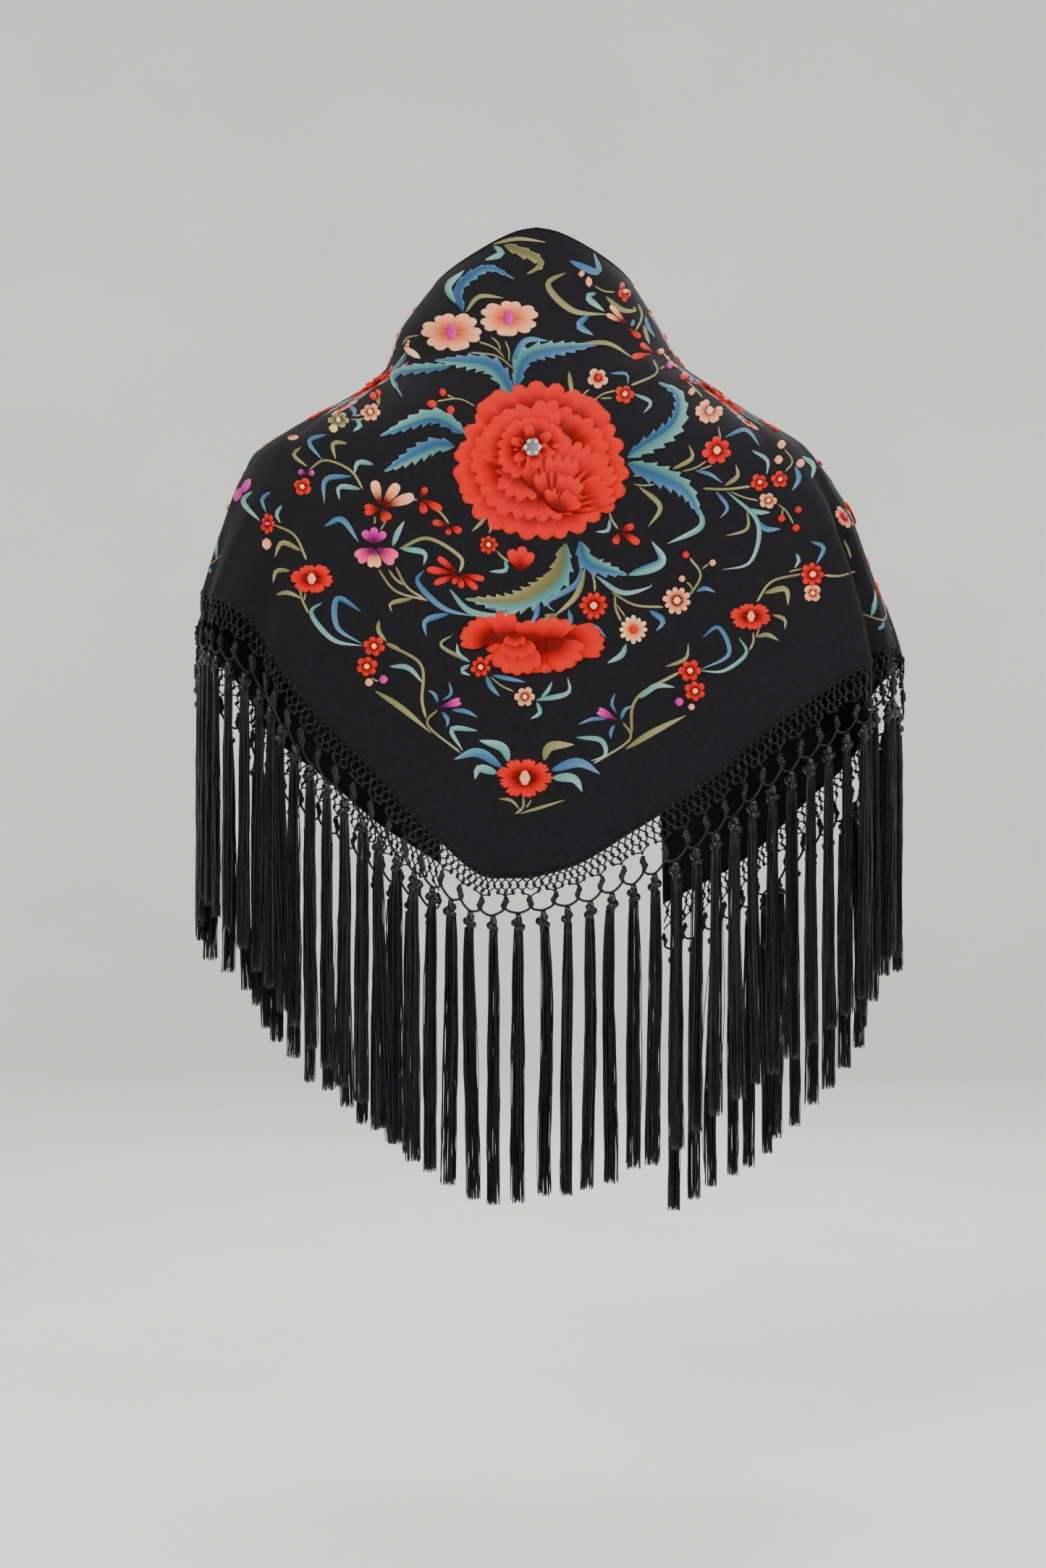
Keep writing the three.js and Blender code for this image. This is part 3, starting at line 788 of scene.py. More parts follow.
def stitchBlade(chart, silk, width, *track, shape="leaf", level=0, into=leafStitches):
    # a leaf, stem or bud along a track; a wide leaf has a rib, teeth and two silks
    size = chartUnit[chart]
    half = width / 2
    length = alongCurve(track, 2)[1]
    wide = shape == "leaf" and width * size > embroidery["wideLeaf"]
    shape = "wide" if wide else shape
    look = "wide" if wide else "narrow"
    teeth = max(3, round(length * size / embroidery["toothLength"]))
    rows = 3 * teeth + 1
    if not wide:
        rows = int(np.clip(length * size / embroidery["rowLength"], *embroidery["rowLimits"]))
    path, length = alongCurve(track, rows)
    t = np.linspace(0, 1, rows)[:, None]
    s = np.linspace(-1, 1, blade["columns"][shape])[None]
    if shape == "stem":
        blunt, growth = blade["stemEnds"]
        spread = np.minimum(1, blunt + growth * np.minimum(t, 1 - t))
    elif shape == "round":
        spread = np.sqrt(np.maximum(1 - (2 * t - 1) ** 2, 0.01))
    else:
        spread = np.sin(np.pi * t ** blade["broadest"][shape]) ** blade["fullness"]
        spread = np.maximum(spread, blade["leastWidth"])
    if wide:
        root, cut = blade["teeth"]
        saw = (t * teeth + 0.01) % 1
        spread = spread * (1 - (root - cut * saw) * np.abs(s) ** 3)
    tangent = np.gradient(path, axis=0)
    tangent /= np.linalg.norm(tangent, axis=1, keepdims=True)
    aside = np.stack([-tangent[:, 1], tangent[:, 0]], -1)
    spots = path[:, None] + aside[:, None] * (s * spread * half)[..., None]
    if wide:
        spots = spots + tangent[:, None] * ((np.abs(s) ** 2 * spread) * half * blade["rake"])[..., None]
        crown = blade["rib"] + 1 - (2 * np.abs(s) - 1) ** 2 + 0 * t
    else:
        crown = (1 - s**2) * np.minimum(1, spread * half * size / embroidery["crownWidth"])
    flosses = silk.split()
    root, lengthwise, sideways, power = blade["tones"][look]
    tone = root + lengthwise * t + sideways * np.abs(s) ** power
    other = silkColour(flosses[-1], tone + blade["otherSide"])
    colours = np.where(s[..., None] < 0, silkColour(flosses[0], tone), other)
    across = s * spread * half * size
    uvs = np.stack([t * length * size - blade["slant"][look] * np.abs(across), across], -1)
    into.add(chart, spots, crown, colours, uvs, level)


def stitchStem(chart, silk, width, *track):
    stitchBlade(chart, silk, width, *track, shape="stem")


def stitchBud(chart, silk, x, y, width, height, turn=0, level=4):
    # a round or oval knot of stitches
    middle = np.array([x, y])
    reach = np.array([np.cos(np.radians(turn)), np.sin(np.radians(turn))]) * height / 2
    ends = (*(middle - reach), *(middle + reach))
    stitchBlade(chart, silk, width, *ends, shape="round", level=level, into=petalStitches)


petal = {
    "fade": 0.35,
    "edge": 0.12,
    "rim": (0.26, 1.6),
    "lobedRim": (0.09, 1.3),
    "waist": 0.84,
    "crown": 0.45,
    # painted shade: how dark the notches between lobes and the sides of a petal are
    "creases": 0.86,
    "lightest": 1.6,
    "fanNear": 0.08,
}
blossom = {"near": 0.12, "shorter": 0.07, "overlap": 1.12, "heart": 0.26}


def stitchPetal(
    chart, inner, outer, centre, halfSize, near, far, turn, spread,
    lobes=1, level=0, fade=petal["fade"], edge=petal["edge"],
):
    # a fan of radial stitches, spread degrees to each side, with one or more lobes at its rim
    size = chartUnit[chart]
    reach = (far - near) * max(halfSize) * size
    rows = int(np.clip(reach / embroidery["petalRowLength"], *embroidery["petalRowLimits"])) + 1
    t = np.linspace(0, 1, rows)[:, None]
    s = np.linspace(-1, 1, 7 if lobes == 1 else 4 * lobes + 1)[None]
    lobe = np.abs(np.cos(np.pi * (lobes * s / 2 + (lobes + 1) / 2)))
    notch, power = petal["rim" if lobes == 1 else "lobedRim"]
    rim = 1 - notch * (1 - lobe) ** power
    if lobes > 1:
        rim = rim - edge * np.abs(s) ** 3
    radius = near + (far * rim - near) * t
    waist = petal["waist"]
    angle = np.radians(turn + spread * s * (waist + (1 - waist) * np.sin(np.pi * t**1.4)))
    x = centre[0] + halfSize[0] * radius * np.cos(angle)
    y = centre[1] + halfSize[1] * radius * np.sin(angle)
    low, paintedNotchShade = petal["crown"], petal["creases"]
    crown = (low + (1 - low) * lobe) * np.sin(np.pi * (0.08 + 0.86 * t)) ** 0.5
    # painted shade in the notches between lobes and at the sides of each petal, where it meets the next, over
    # the dark of its throat, which is the floss's own
    share = np.clip((t - fade * (1 - t)) * (paintedNotchShade + (1 - paintedNotchShade) * lobe), 0, 1)
    deep, tone, light = linearColour(inner)[0], *linearColour(outer)[1:]
    lit = between(tone, light, petal["lightest"] * (share - 0.5))
    colours = np.where(share[..., None] < 0.5, between(deep, tone, 2 * share), lit)
    arc = s * radius * np.radians(spread) * max(halfSize) * size
    uvs = np.stack([arc, radius * halfSize[0] * size + 0 * s], -1)
    petalStitches.add(chart, np.stack([x, y], -1), crown, colours, uvs, level)


def stitchBlossom(chart, inner, outer, heart, petals, x, y, width, height=None, turn=0, lobes=1):
    height = height or width
    for i in range(petals):
        stitchPetal(
            chart, inner, outer, (x, y), (width / 2, height / 2), blossom["near"],
            1 - blossom["shorter"] * (i % 3 == 1), turn + 360 * i / petals,
            180 / petals * blossom["overlap"], lobes, i % 2,
        )
    stitchBud(chart, heart, x, y, blossom["heart"] * width, blossom["heart"] * height)


# A big bloom, in halves of its own width and height: the outer ring, two rings inside it and the ring
# round its heart, four cups that open upwards from its foot, and the star on top. Each row is a centre,
# reach, near, layer, spread, lobes, how far the dark of its throat comes out, and its directions.
bloom = [
    (0, 0, 1.0, 0.5, 0, 26, 3, 0.7, (-93, -52, -14, 22, 62, 100, 138, 172, 206, 240)),
    (-0.02, -0.02, 0.8, 0.3, 2, 31, 4, 0.7, (-70, -20, 30, 80, 130, 180, 232)),
    (-0.08, -0.1, 0.62, 0.2, 3, 32, 4, 0.7, (70, 112, 154, 196, 238, 280)),
    (-0.09, -0.15, 0.42, 0.1, 5, 34, 3, 0.6, (90, 140, 190, 240, 290, 340)),
    (0.08, 0.6, 0.96, 0.3, 5, 18, 4, 0.75, (-112, -88, -64, -40)),
    (0.1, 0.62, 0.77, 0.2, 6, 20, 4, 0.65, (-106, -78, -50, -26)),
    (0.12, 0.62, 0.56, 0.1, 7, 24, 4, 0.55, (-96, -60, -26)),
    (0.14, 0.62, 0.34, 0.04, 8, 34, 3, 0.4, (-84, -40)),
    (-0.09, -0.17, 0.27, 0.1, 9, 20, 1, 0.1, (-100, -40, 20, 80, 140, 200)),
]
peony = {"edge": 0.06, "uneven": 0.05, "heart": 0.1, "pearls": 6, "pearl": 0.026, "pearlsOut": 0.038}


def stitchPeony(chart, inner, outer, heart, x, y, width, height, turn=0):
    half = np.array([width, height]) / 2
    swing = np.radians(turn)
    rows = bloom if chart == "photo" else bloom[::2]  # the sprays' small blooms have fewer layers
    for across, down, reach, near, level, spread, lobes, fade, directions in rows:
        centre = (
            x + half[0] * (across * np.cos(swing) - down * np.sin(swing)),
            y + half[1] * (across * np.sin(swing) + down * np.cos(swing)),
        )
        for i, direction in enumerate(directions):
            uneven = reach * (1 - peony["uneven"] * ((i * 7 + level) % 3) / 2)
            stitchPetal(
                chart, inner, outer, centre, half, near, uneven, turn + direction, spread, lobes,
                level + i % 2, fade, peony["edge"],
            )
    stitchBud(chart, heart, *centre, peony["heart"] * width, peony["heart"] * height, level=10)
    pearl, out = peony["pearl"] * width, peony["pearlsOut"]
    for i in range(peony["pearls"]):
        angle = swing + 2 * np.pi * i / peony["pearls"]
        x, y = centre[0] + out * width * np.cos(angle), centre[1] + out * height * np.sin(angle)
        stitchBud(chart, "pearl", x, y, pearl, pearl, level=11)


# The back's motifs, in the photo chart. Leaves and tendrils by floss: width, then a track.
backLeaves = {
    "sage": [
        (6, 679, 338, 715, 330, 756, 335), (18, 695, 338, 744, 359, 742, 371, 727, 379),
        (10, 583, 414, 606, 420, 624, 431), (6, 598, 400, 607, 412, 624, 430),
        (7, 642, 433, 662, 410, 697, 412), (6, 582, 425, 570, 435, 573, 447),
        (10, 783, 376, 757, 394, 791, 429, 842, 435), (8, 836, 409, 859, 428, 879, 429, 873, 423),
        (6, 889, 448, 893, 463, 898, 477), (7, 790, 478, 838, 474, 875, 495),
        (7, 786, 512, 789, 535, 793, 554), (8, 882, 672, 912, 700, 895, 729),
        (7, 928, 649, 956, 633, 951, 614), (7, 1000, 672, 1019, 658, 1016, 641),
        (5, 1032, 704, 1032, 731, 1001, 741), (6, 1025, 561, 1032, 570, 1039, 577),
        (6, 1167, 744, 1196, 765, 1183, 789), (9, 1055, 820, 1085, 814, 1089, 838),
        (6, 1066, 849, 1084, 856, 1084, 871), (7, 1044, 881, 1060, 877, 1077, 886),
        (6, 918, 922, 947, 910, 951, 888), (10, 863, 1036, 902, 1012, 949, 988),
        (9, 809, 782, 796, 823, 763, 854), (22, 770, 848, 758, 858, 746, 872),
        (6, 650, 916, 609, 892, 626, 877), (14, 751, 1052, 760, 1032, 794, 1029),
        (5, 688, 1104, 706, 1106, 719, 1120), (5, 716, 1125, 750, 1115, 782, 1105),
        (9, 517, 954, 554, 978, 597, 1014), (7, 524, 856, 523, 872, 535, 888),
        (7, 380, 822, 398, 819, 418, 828), (7, 402, 789, 382, 789, 377, 807),
        (8, 417, 762, 390, 750, 379, 771), (6, 417, 617, 406, 629, 426, 646),
        (7, 481, 613, 460, 613, 464, 636), (6, 673, 713, 662, 725, 651, 735),
        (7, 571, 827, 540, 834, 542, 847), (6, 380, 609, 390, 601, 403, 597),
    ],
    "teal": [
        (10, 681, 339, 693, 350, 669, 360), (11, 630, 420, 619, 396, 642, 373),
        (8, 761, 337, 795, 348, 799, 332), (10, 825, 405, 812, 411, 836, 431),
        (5, 883, 419, 895, 432, 907, 443), (6, 875, 544, 899, 556, 888, 572),
        (8, 1107, 630, 1124, 643, 1121, 663), (8, 1112, 674, 1131, 671, 1145, 683),
        (6, 1038, 622, 1060, 636, 1059, 657), (8, 1034, 703, 1048, 708, 1065, 708),
        (7, 1003, 678, 1047, 722, 1037, 776, 996, 788), (8, 1154, 750, 1168, 764, 1140, 792),
        (6, 1099, 764, 1104, 774, 1097, 786), (6, 1020, 880, 1031, 903, 1000, 927, 966, 927),
        (9, 883, 966, 906, 948, 933, 950), (8, 795, 1019, 830, 1023, 836, 1044, 815, 1052),
        (6, 842, 716, 840, 733, 822, 735), (8, 822, 795, 859, 819, 896, 812, 900, 805),
        (9, 865, 889, 859, 905, 838, 917), (7, 650, 915, 634, 905, 631, 888),
        (7, 650, 918, 637, 927, 651, 934), (8, 739, 968, 784, 958, 784, 935),
        (6, 746, 966, 757, 954, 763, 941), (7, 741, 969, 746, 985, 732, 994),
        (14, 762, 1075, 792, 1076, 805, 1095), (14, 703, 1054, 694, 1033, 661, 1023),
        (13, 688, 1069, 662, 1062, 656, 1078), (8, 661, 1010, 624, 1008, 640, 1039),
        (8, 537, 921, 564, 923, 586, 946), (8, 446, 832, 430, 848, 460, 884, 502, 893),
        (8, 349, 678, 336, 694, 360, 721), (6, 390, 697, 382, 711, 388, 724),
        (8, 517, 642, 495, 639, 489, 657), (8, 499, 676, 469, 673, 469, 692),
        (8, 490, 578, 498, 587, 487, 597), (9, 542, 756, 549, 737, 559, 719),
        (9, 553, 758, 586, 764, 585, 782), (7, 697, 772, 699, 788, 675, 790),
        (10, 620, 813, 650, 845, 700, 850, 737, 824), (9, 964, 698, 968, 728, 921, 752),
    ],
    "blue": [
        (18, 640, 432, 635, 398, 673, 371, 712, 386), (11, 786, 360, 826, 376, 820, 348),
        (11, 814, 435, 800, 450, 821, 464), (6, 875, 441, 874, 449, 870, 449),
        (6, 891, 436, 896, 453, 906, 467), (10, 706, 501, 726, 471, 758, 471),
        (5, 841, 516, 866, 517, 867, 533), (6, 1000, 605, 1030, 594, 1050, 617),
        (8, 1098, 643, 1104, 661, 1094, 679), (5, 1141, 654, 1146, 666, 1152, 675),
        (6, 959, 650, 980, 655, 999, 668), (6, 988, 678, 1005, 701, 994, 717),
        (9, 1046, 719, 1058, 731, 1079, 731), (7, 1119, 748, 1138, 757, 1127, 781),
        (7, 969, 882, 993, 867, 1007, 904, 967, 926), (5, 852, 986, 845, 973, 850, 957),
        (6, 839, 994, 818, 994, 798, 1002), (6, 850, 1001, 844, 1011, 844, 1022),
        (6, 857, 996, 863, 981, 875, 975), (9, 805, 780, 795, 808, 757, 832, 767, 846),
        (7, 961, 818, 974, 813, 989, 819), (9, 896, 843, 916, 858, 906, 873),
        (8, 785, 841, 788, 859, 772, 875), (8, 792, 873, 820, 866, 838, 882),
        (8, 744, 829, 741, 849, 731, 867), (8, 671, 933, 679, 950, 691, 963),
        (7, 679, 933, 703, 938, 727, 943), (15, 761, 1065, 799, 1054, 830, 1070),
        (15, 694, 1061, 660, 1040, 626, 1050), (5, 610, 968, 623, 959, 620, 941),
        (6, 605, 973, 600, 959, 590, 954), (7, 623, 981, 643, 983, 661, 992),
        (7, 610, 983, 619, 995, 616, 1006), (9, 500, 846, 466, 827, 466, 867, 502, 891),
        (6, 375, 679, 362, 690, 368, 709), (7, 452, 600, 427, 610, 445, 636),
        (8, 487, 658, 450, 663, 448, 697), (9, 447, 728, 472, 718, 496, 750),
        (8, 481, 560, 491, 569, 486, 576), (9, 587, 787, 577, 805, 612, 840, 655, 852),
        (9, 621, 848, 588, 858, 589, 880), (6, 670, 840, 694, 843, 716, 860),
    ],
    "teal blue": [
        (32, 709, 547, 676, 506, 600, 498), (30, 711, 536, 732, 491, 826, 476),
        (30, 629, 617, 596, 618, 530, 652), (36, 866, 640, 941, 672, 969, 716),
        (30, 800, 747, 815, 778, 867, 795),
    ],
    "blue teal": [
        (17, 622, 506, 546, 516, 556, 550), (28, 644, 600, 598, 576, 524, 603),
        (32, 866, 633, 930, 590, 938, 548, 909, 528), (15, 867, 795, 914, 777, 900, 747),
    ],
    "teal sage": [(44, 782, 750, 768, 800, 712, 832, 642, 828)],
}
backStems = {  # width: tracks
    3: [
        (558, 451, 571, 450, 584, 453), (546, 465, 562, 461, 583, 463), (581, 463, 562, 467, 556, 478),
        (820, 394, 834, 402, 851, 404), (912, 510, 916, 507, 919, 506), (711, 511, 686, 492, 649, 487),
        (698, 495, 682, 480, 660, 472), (692, 487, 688, 474, 677, 465), (703, 501, 703, 484, 697, 470),
        (800, 552, 807, 544, 815, 537), (815, 559, 832, 545, 853, 539), (828, 551, 838, 550, 847, 550),
        (947, 524, 960, 537, 972, 550), (658, 562, 633, 551, 602, 555), (628, 550, 622, 548, 617, 545),
        (873, 658, 885, 657, 896, 659), (874, 669, 890, 671, 906, 669), (941, 652, 962, 646, 977, 636),
        (965, 649, 976, 646, 985, 642), (992, 588, 994, 598, 996, 607), (1082, 619, 1095, 637, 1084, 653),
        (1008, 679, 1030, 688, 1049, 692), (1073, 686, 1112, 675, 1137, 651),
        (1073, 696, 1086, 706, 1097, 725), (1081, 701, 1081, 708, 1080, 714),
        (1165, 737, 1176, 735, 1187, 736), (1110, 786, 1098, 788, 1089, 791),
        (1049, 866, 1047, 874, 1044, 881), (969, 787, 974, 783, 979, 779), (957, 817, 954, 809, 947, 804),
        (851, 834, 858, 844, 865, 854), (676, 934, 693, 948, 711, 956), (734, 1104, 731, 1111, 726, 1117),
        (512, 936, 518, 940, 524, 942), (532, 888, 544, 892, 555, 899), (422, 819, 421, 825, 420, 831),
        (459, 566, 464, 573, 471, 575), (483, 579, 494, 580, 504, 578), (489, 575, 494, 574, 499, 573),
        (522, 564, 524, 551, 518, 535), (519, 550, 521, 554, 523, 558), (517, 712, 518, 719, 517, 725),
        (533, 720, 529, 727, 525, 733),
    ],
    4: [
        (881, 419, 887, 437, 878, 458), (896, 441, 912, 468, 926, 491), (902, 496, 907, 516, 871, 533),
        (970, 675, 1004, 676, 1038, 672), (1165, 745, 1172, 760, 1176, 773),
        (1183, 789, 1160, 796, 1138, 795), (1108, 793, 1066, 804, 1045, 833),
        (1040, 872, 1041, 886, 1035, 900), (860, 997, 870, 1022, 819, 1056), (841, 706, 846, 720, 855, 732),
        (816, 785, 821, 803, 822, 819), (844, 818, 877, 836, 917, 839), (952, 824, 968, 795, 952, 770),
        (849, 821, 851, 842, 859, 860), (722, 1100, 723, 1115, 711, 1126), (605, 980, 591, 1002, 637, 1041),
        (414, 810, 417, 828, 427, 849), (313, 706, 336, 722, 363, 726), (378, 725, 407, 740, 424, 775),
        (426, 650, 449, 636, 484, 650, 502, 677), (549, 697, 562, 692, 578, 690),
        (590, 697, 608, 708, 621, 725), (522, 786, 547, 817, 592, 830), (536, 786, 547, 801, 559, 809),
        (546, 782, 562, 811, 587, 828), (678, 722, 678, 730, 676, 738), (685, 760, 694, 770, 705, 777),
    ],
    5: [(872, 1017, 879, 966, 940, 928), (532, 889, 581, 918, 583, 968, 589, 994)],
    6: [(551, 759, 591, 744, 636, 770, 635, 792)],
}
backBlossoms = {  # inner, outer and heart flosses: petals, lobes, place, width, height, turn
    "peach peach magenta": [(6, 2, 624, 459, 86, 58, 10), (6, 2, 703, 440, 84, 54, 35)],
    "red red cream": [
        (5, 1, 863, 403, 20, 30, 90), (5, 1, 863, 545, 28, 28, 0), (7, 1, 990, 623, 42, 40, 12),
        (8, 1, 1122, 794, 34, 34, 0), (6, 1, 953, 927, 32, 32, 0), (6, 1, 960, 955, 30, 30, 25),
        (10, 1, 820, 837, 40, 40, 0), (7, 1, 664, 922, 29, 29, 8), (6, 1, 517, 893, 31, 30, 15),
        (6, 1, 507, 921, 30, 30, 40), (4, 1, 418, 673, 26, 26, 30), (8, 1, 675, 753, 27, 26, 0),
    ],
    "red peach red": [(5, 1, 826, 523, 30, 30, 18)],
    "rose peach cream": [(6, 2, 980, 568, 40, 38, 0)],
    "red red peach": [
        (5, 1, 1049, 667, 25, 25, 20), (5, 1, 1077, 663, 25, 24, 50), (6, 3, 1037, 852, 58, 40, 15),
        (9, 3, 725, 1075, 80, 57, 0), (6, 3, 431, 800, 60, 44, 10),
    ],
    "red peach cream": [
        (5, 1, 1061, 692, 26, 24, 0), (4, 1, 1122, 820, 26, 26, 45), (10, 1, 935, 830, 40, 40, 9),
        (6, 1, 725, 963, 29, 29, 0), (6, 1, 512, 570, 28, 26, 0), (4, 1, 400, 600, 34, 18, 60),
    ],
    "peach cream red": [(12, 1, 875, 870, 40, 40, 0)],
    "sage sage cream": [(6, 1, 468, 581, 30, 24, 0)],
    "red red magenta": [(7, 1, 370, 724, 20, 30, 0)],
}
backFans = {  # inner and outer flosses: centre, reach, direction, spread, lobes
    "red peach": [
        (526, 702, 40, -104, 17, 1), (526, 702, 42, -54, 18, 1), (526, 702, 50, -20, 15, 1),
        (903, 489, 16, -20, 26, 1), (869, 451, 40, 228, 9, 1), (864, 448, 30, 208, 11, 1),
    ],
    "red red": [
        (526, 704, 24, 178, 32, 2), (526, 702, 22, 60, 34, 2), (581, 689, 18, -64, 26, 1),
        (581, 689, 34, 28, 16, 1), (581, 689, 22, 74, 26, 1), (621, 727, 25, -166, 18, 1),
        (621, 727, 19, 25, 28, 1), (621, 727, 13, 100, 34, 1), (634, 793, 38, -142, 12, 1),
        (634, 793, 46, 188, 11, 1), (634, 793, 38, 158, 12, 1), (634, 793, 17, 120, 24, 1),
        (634, 793, 21, 78, 22, 1), (634, 793, 34, 40, 14, 1), (634, 793, 37, 12, 12, 1),
        (718, 792, 36, -112, 20, 1), (718, 792, 38, -84, 20, 1), (718, 792, 34, -58, 20, 1),
        (856, 734, 20, 110, 26, 1), (856, 734, 33, 32, 16, 1), (856, 734, 22, -22, 22, 1),
        (903, 489, 24, 218, 15, 1), (903, 489, 31, 172, 14, 1), (866, 453, 24, 35, 16, 1),
        (1110, 626, 44, 214, 10, 1), (1074, 606, 32, 226, 10, 1), (436, 576, 32, -26, 13, 1),
        (468, 559, 36, -26, 14, 2),
    ],
    "magenta magenta": [
        (516, 752, 24, -128, 24, 1), (516, 752, 24, -88, 24, 1), (516, 752, 24, -46, 24, 1),
        (855, 996, 34, 206, 16, 2), (606, 978, 33, -17, 16, 2), (1163, 740, 15, -124, 34, 1),
        (1163, 740, 12, 152, 34, 1), (423, 655, 12, 200, 34, 1), (423, 655, 12, -12, 34, 1),
    ],
    "magenta rose": [(518, 756, 32, 146, 30, 2), (518, 756, 36, 32, 30, 2)],
    "magenta peach": [(518, 756, 30, 92, 30, 2)],
}
sidePeony = [  # centre, reach across and down, layer, direction, spread and lobes
    (738, 892, 88, 36, 0, 250, 44, 5), (738, 892, 88, 36, 0, 300, 44, 5), (738, 896, 80, 36, 0, 60, 50, 5),
    (738, 896, 80, 36, 0, 120, 50, 5), (728, 894, 72, 34, 1, 0, 60, 4), (748, 892, 78, 30, 1, 180, 60, 4),
    (700, 896, 56, 52, 2, 250, 44, 4), (760, 900, 60, 48, 2, 284, 44, 4),
    (690, 888, 56, 44, 4, 206, 46, 5), (766, 890, 70, 48, 4, 352, 44, 5), (752, 880, 64, 54, 5, 44, 40, 4),
    (716, 876, 58, 58, 6, 92, 52, 5), (714, 874, 42, 40, 7, 88, 56, 4), (712, 872, 26, 24, 8, 92, 56, 3),
]
backBuds = {  # floss: place, width, height, turn
    "cream": [(570, 488, 9, 26, 35), (461, 593, 10, 12, 0)],
    "peach": [
        (803, 379, 8, 8, 0), (813, 390, 8, 14, 80), (970, 531, 9, 9, 0), (955, 542, 9, 9, 0),
        (1079, 615, 11, 11, 0), (1075, 636, 11, 11, 0), (1105, 641, 11, 11, 0), (955, 977, 9, 9, 0),
        (984, 778, 9, 9, 0), (942, 800, 9, 9, 0), (510, 943, 11, 11, 0), (369, 752, 12, 16, 90),
    ],
    "magenta": [
        (925, 505, 10, 10, 0), (938, 970, 12, 12, 0), (530, 939, 12, 12, 0), (341, 672, 9, 22, -60),
        (330, 684, 9, 20, 115),
    ],
    "red": [
        (944, 521, 10, 10, 0), (612, 543, 10, 10, 0), (597, 559, 10, 14, 0), (623, 567, 11, 11, 0),
        (1102, 705, 9, 9, 0), (1079, 717, 10, 10, 0), (1099, 730, 10, 10, 0), (947, 767, 10, 10, 0),
        (516, 548, 10, 10, 0), (515, 531, 8, 10, 0), (524, 544, 6, 9, 90),
    ],
}


def stitchBack():
    for silk, leaves in backLeaves.items():
        for width, *track in leaves:
            stitchBlade("photo", silk, width, *track)
    for width, tracks in backStems.items():
        for track in tracks:
            stitchStem("photo", "sage", width, *track)
    stitchPeony("photo", "red", "red", "grey", 747, 639, 252, 230)
    for x, y, width, height, level, direction, spread, lobes in sidePeony:
        stitchPetal(
            "photo", "red", "red", (x, y), (width, height), 0.05, 1, direction, spread,
            lobes, level, fade=0.6, edge=0.07,
        )
    for silk, blossoms in backBlossoms.items():
        for petals, lobes, *place in blossoms:
            stitchBlossom("photo", *silk.split(), petals, *place, lobes)
    for silk, fans in backFans.items():
        for x, y, reach, *rest in fans:
            stitchPetal("photo", *silk.split(), (x, y), (reach, reach), petal["fanNear"], 1, *rest)
    for silk, buds in backBuds.items():
        for bud in buds:
            stitchBud("photo", silk, *bud)


# The sides and fronts, which the photograph hides: sprays of the same motifs in the round chart, each
# given in its own millimetres, and a border of scrolls above the hem.
spray = {
    "leaves": [  # floss, width, track
        ("teal blue", 13, -6, 4, -18, 14, -36, 14), ("blue teal", 12, 8, 4, 22, 10, 34, 24),
        ("teal sage", 14, 6, -8, 16, -24, 8, -42), ("blue", 5, -8, -8, -20, -16, -22, -30),
        ("sage", 5, 10, -4, 26, -6, 34, -18), ("teal", 5, -4, 10, -10, 26, -2, 36),
        ("blue", 4, 14, 14, 16, 28, 26, 34), ("teal", 4, -14, -2, -28, -4, -36, -14),
    ],
    "stems": [  # width, track
        (2, 0, -10, -4, -28, -16, -46), (2, 10, 8, 24, 22, 40, 26), (2, -10, 8, -26, 24, -42, 24),
        (2, 4, 10, 8, 26, 4, 42),
    ],
    "blossoms": [  # petals, lobes, flosses, place, width
        (7, 1, "red", "red", "cream", -16, -46, 17), (6, 1, "red", "peach", "cream", 42, 27, 16),
        (6, 2, "rose", "peach", "red", -44, 25, 20), (5, 1, "magenta", "magenta", "cream", 4, 45, 13),
    ],
    "buds": [  # floss, place, width
        ("red", 20, -30, 5), ("peach", 28, -33, 5), ("red", -30, -34, 5), ("peach", 24, 42, 4),
    ],
}
sprays = [  # place round the body and height, size, turn, mirrored, width of the peony
    (-318, -92, 0.8, 20, 1, 44), (-252, -20, 0.6, -70, -1, 30), (-398, -150, 1.0, -30, -1, 54),
    (-492, -262, 0.9, 40, 1, 50), (-440, -48, 0.7, 150, 1, 36), (-522, -158, 0.7, -100, -1, 36),
    (-356, -26, 0.45, 60, -1, 22), (-300, 22, 0.42, 10, 1, 20), (-474, -168, 0.4, 80, 1, 0),
    (-404, -222, 0.45, 200, -1, 0), (-508, -66, 0.42, 30, 1, 18),
    (322, -112, 0.85, 160, -1, 46), (262, -30, 0.6, 70, 1, 30), (412, -178, 1.0, 30, 1, 54),
    (520, -292, 0.95, -40, -1, 50), (452, -62, 0.75, -150, -1, 38), (552, -160, 0.75, 100, 1, 38),
    (362, -36, 0.45, 120, 1, 22), (306, 20, 0.42, -10, -1, 20), (484, -190, 0.42, 100, -1, 0),
    (424, -252, 0.45, -20, 1, 0), (528, -68, 0.45, -30, -1, 20),
]


def stitchSpray(x, y, scale, turn, mirror, bloomWidth):
    cos, sin = np.cos(np.radians(turn)), np.sin(np.radians(turn))

    def moved(points):
        points = np.reshape(points, (-1, 2)) * scale * [mirror, 1]
        return np.stack([x + points[:, 0] * cos - points[:, 1] * sin,
                         y + points[:, 0] * sin + points[:, 1] * cos], -1).ravel()

    for silk, width, *track in spray["leaves"]:
        stitchBlade("round", silk, width * scale, *moved(track))
    for width, *track in spray["stems"]:
        stitchStem("round", "sage", width, *moved(track))
    if bloomWidth > 24:
        stitchPeony("round", "red", "red", "peach", x, y, bloomWidth, bloomWidth * 0.88, turn)
    elif bloomWidth:
        stitchBlossom("round", "peach", "peach", "magenta", 6, x, y, bloomWidth, bloomWidth * 0.9, turn, 2)
    for petals, lobes, inner, outer, heart, a, b, width in spray["blossoms"]:
        stitchBlossom(
            "round", inner, outer, heart, petals, *moved((a, b)), width * scale, turn=turn, lobes=lobes
        )
    for silk, a, b, width in spray["buds"]:
        stitchBud("round", silk, *moved((a, b)), width, width)


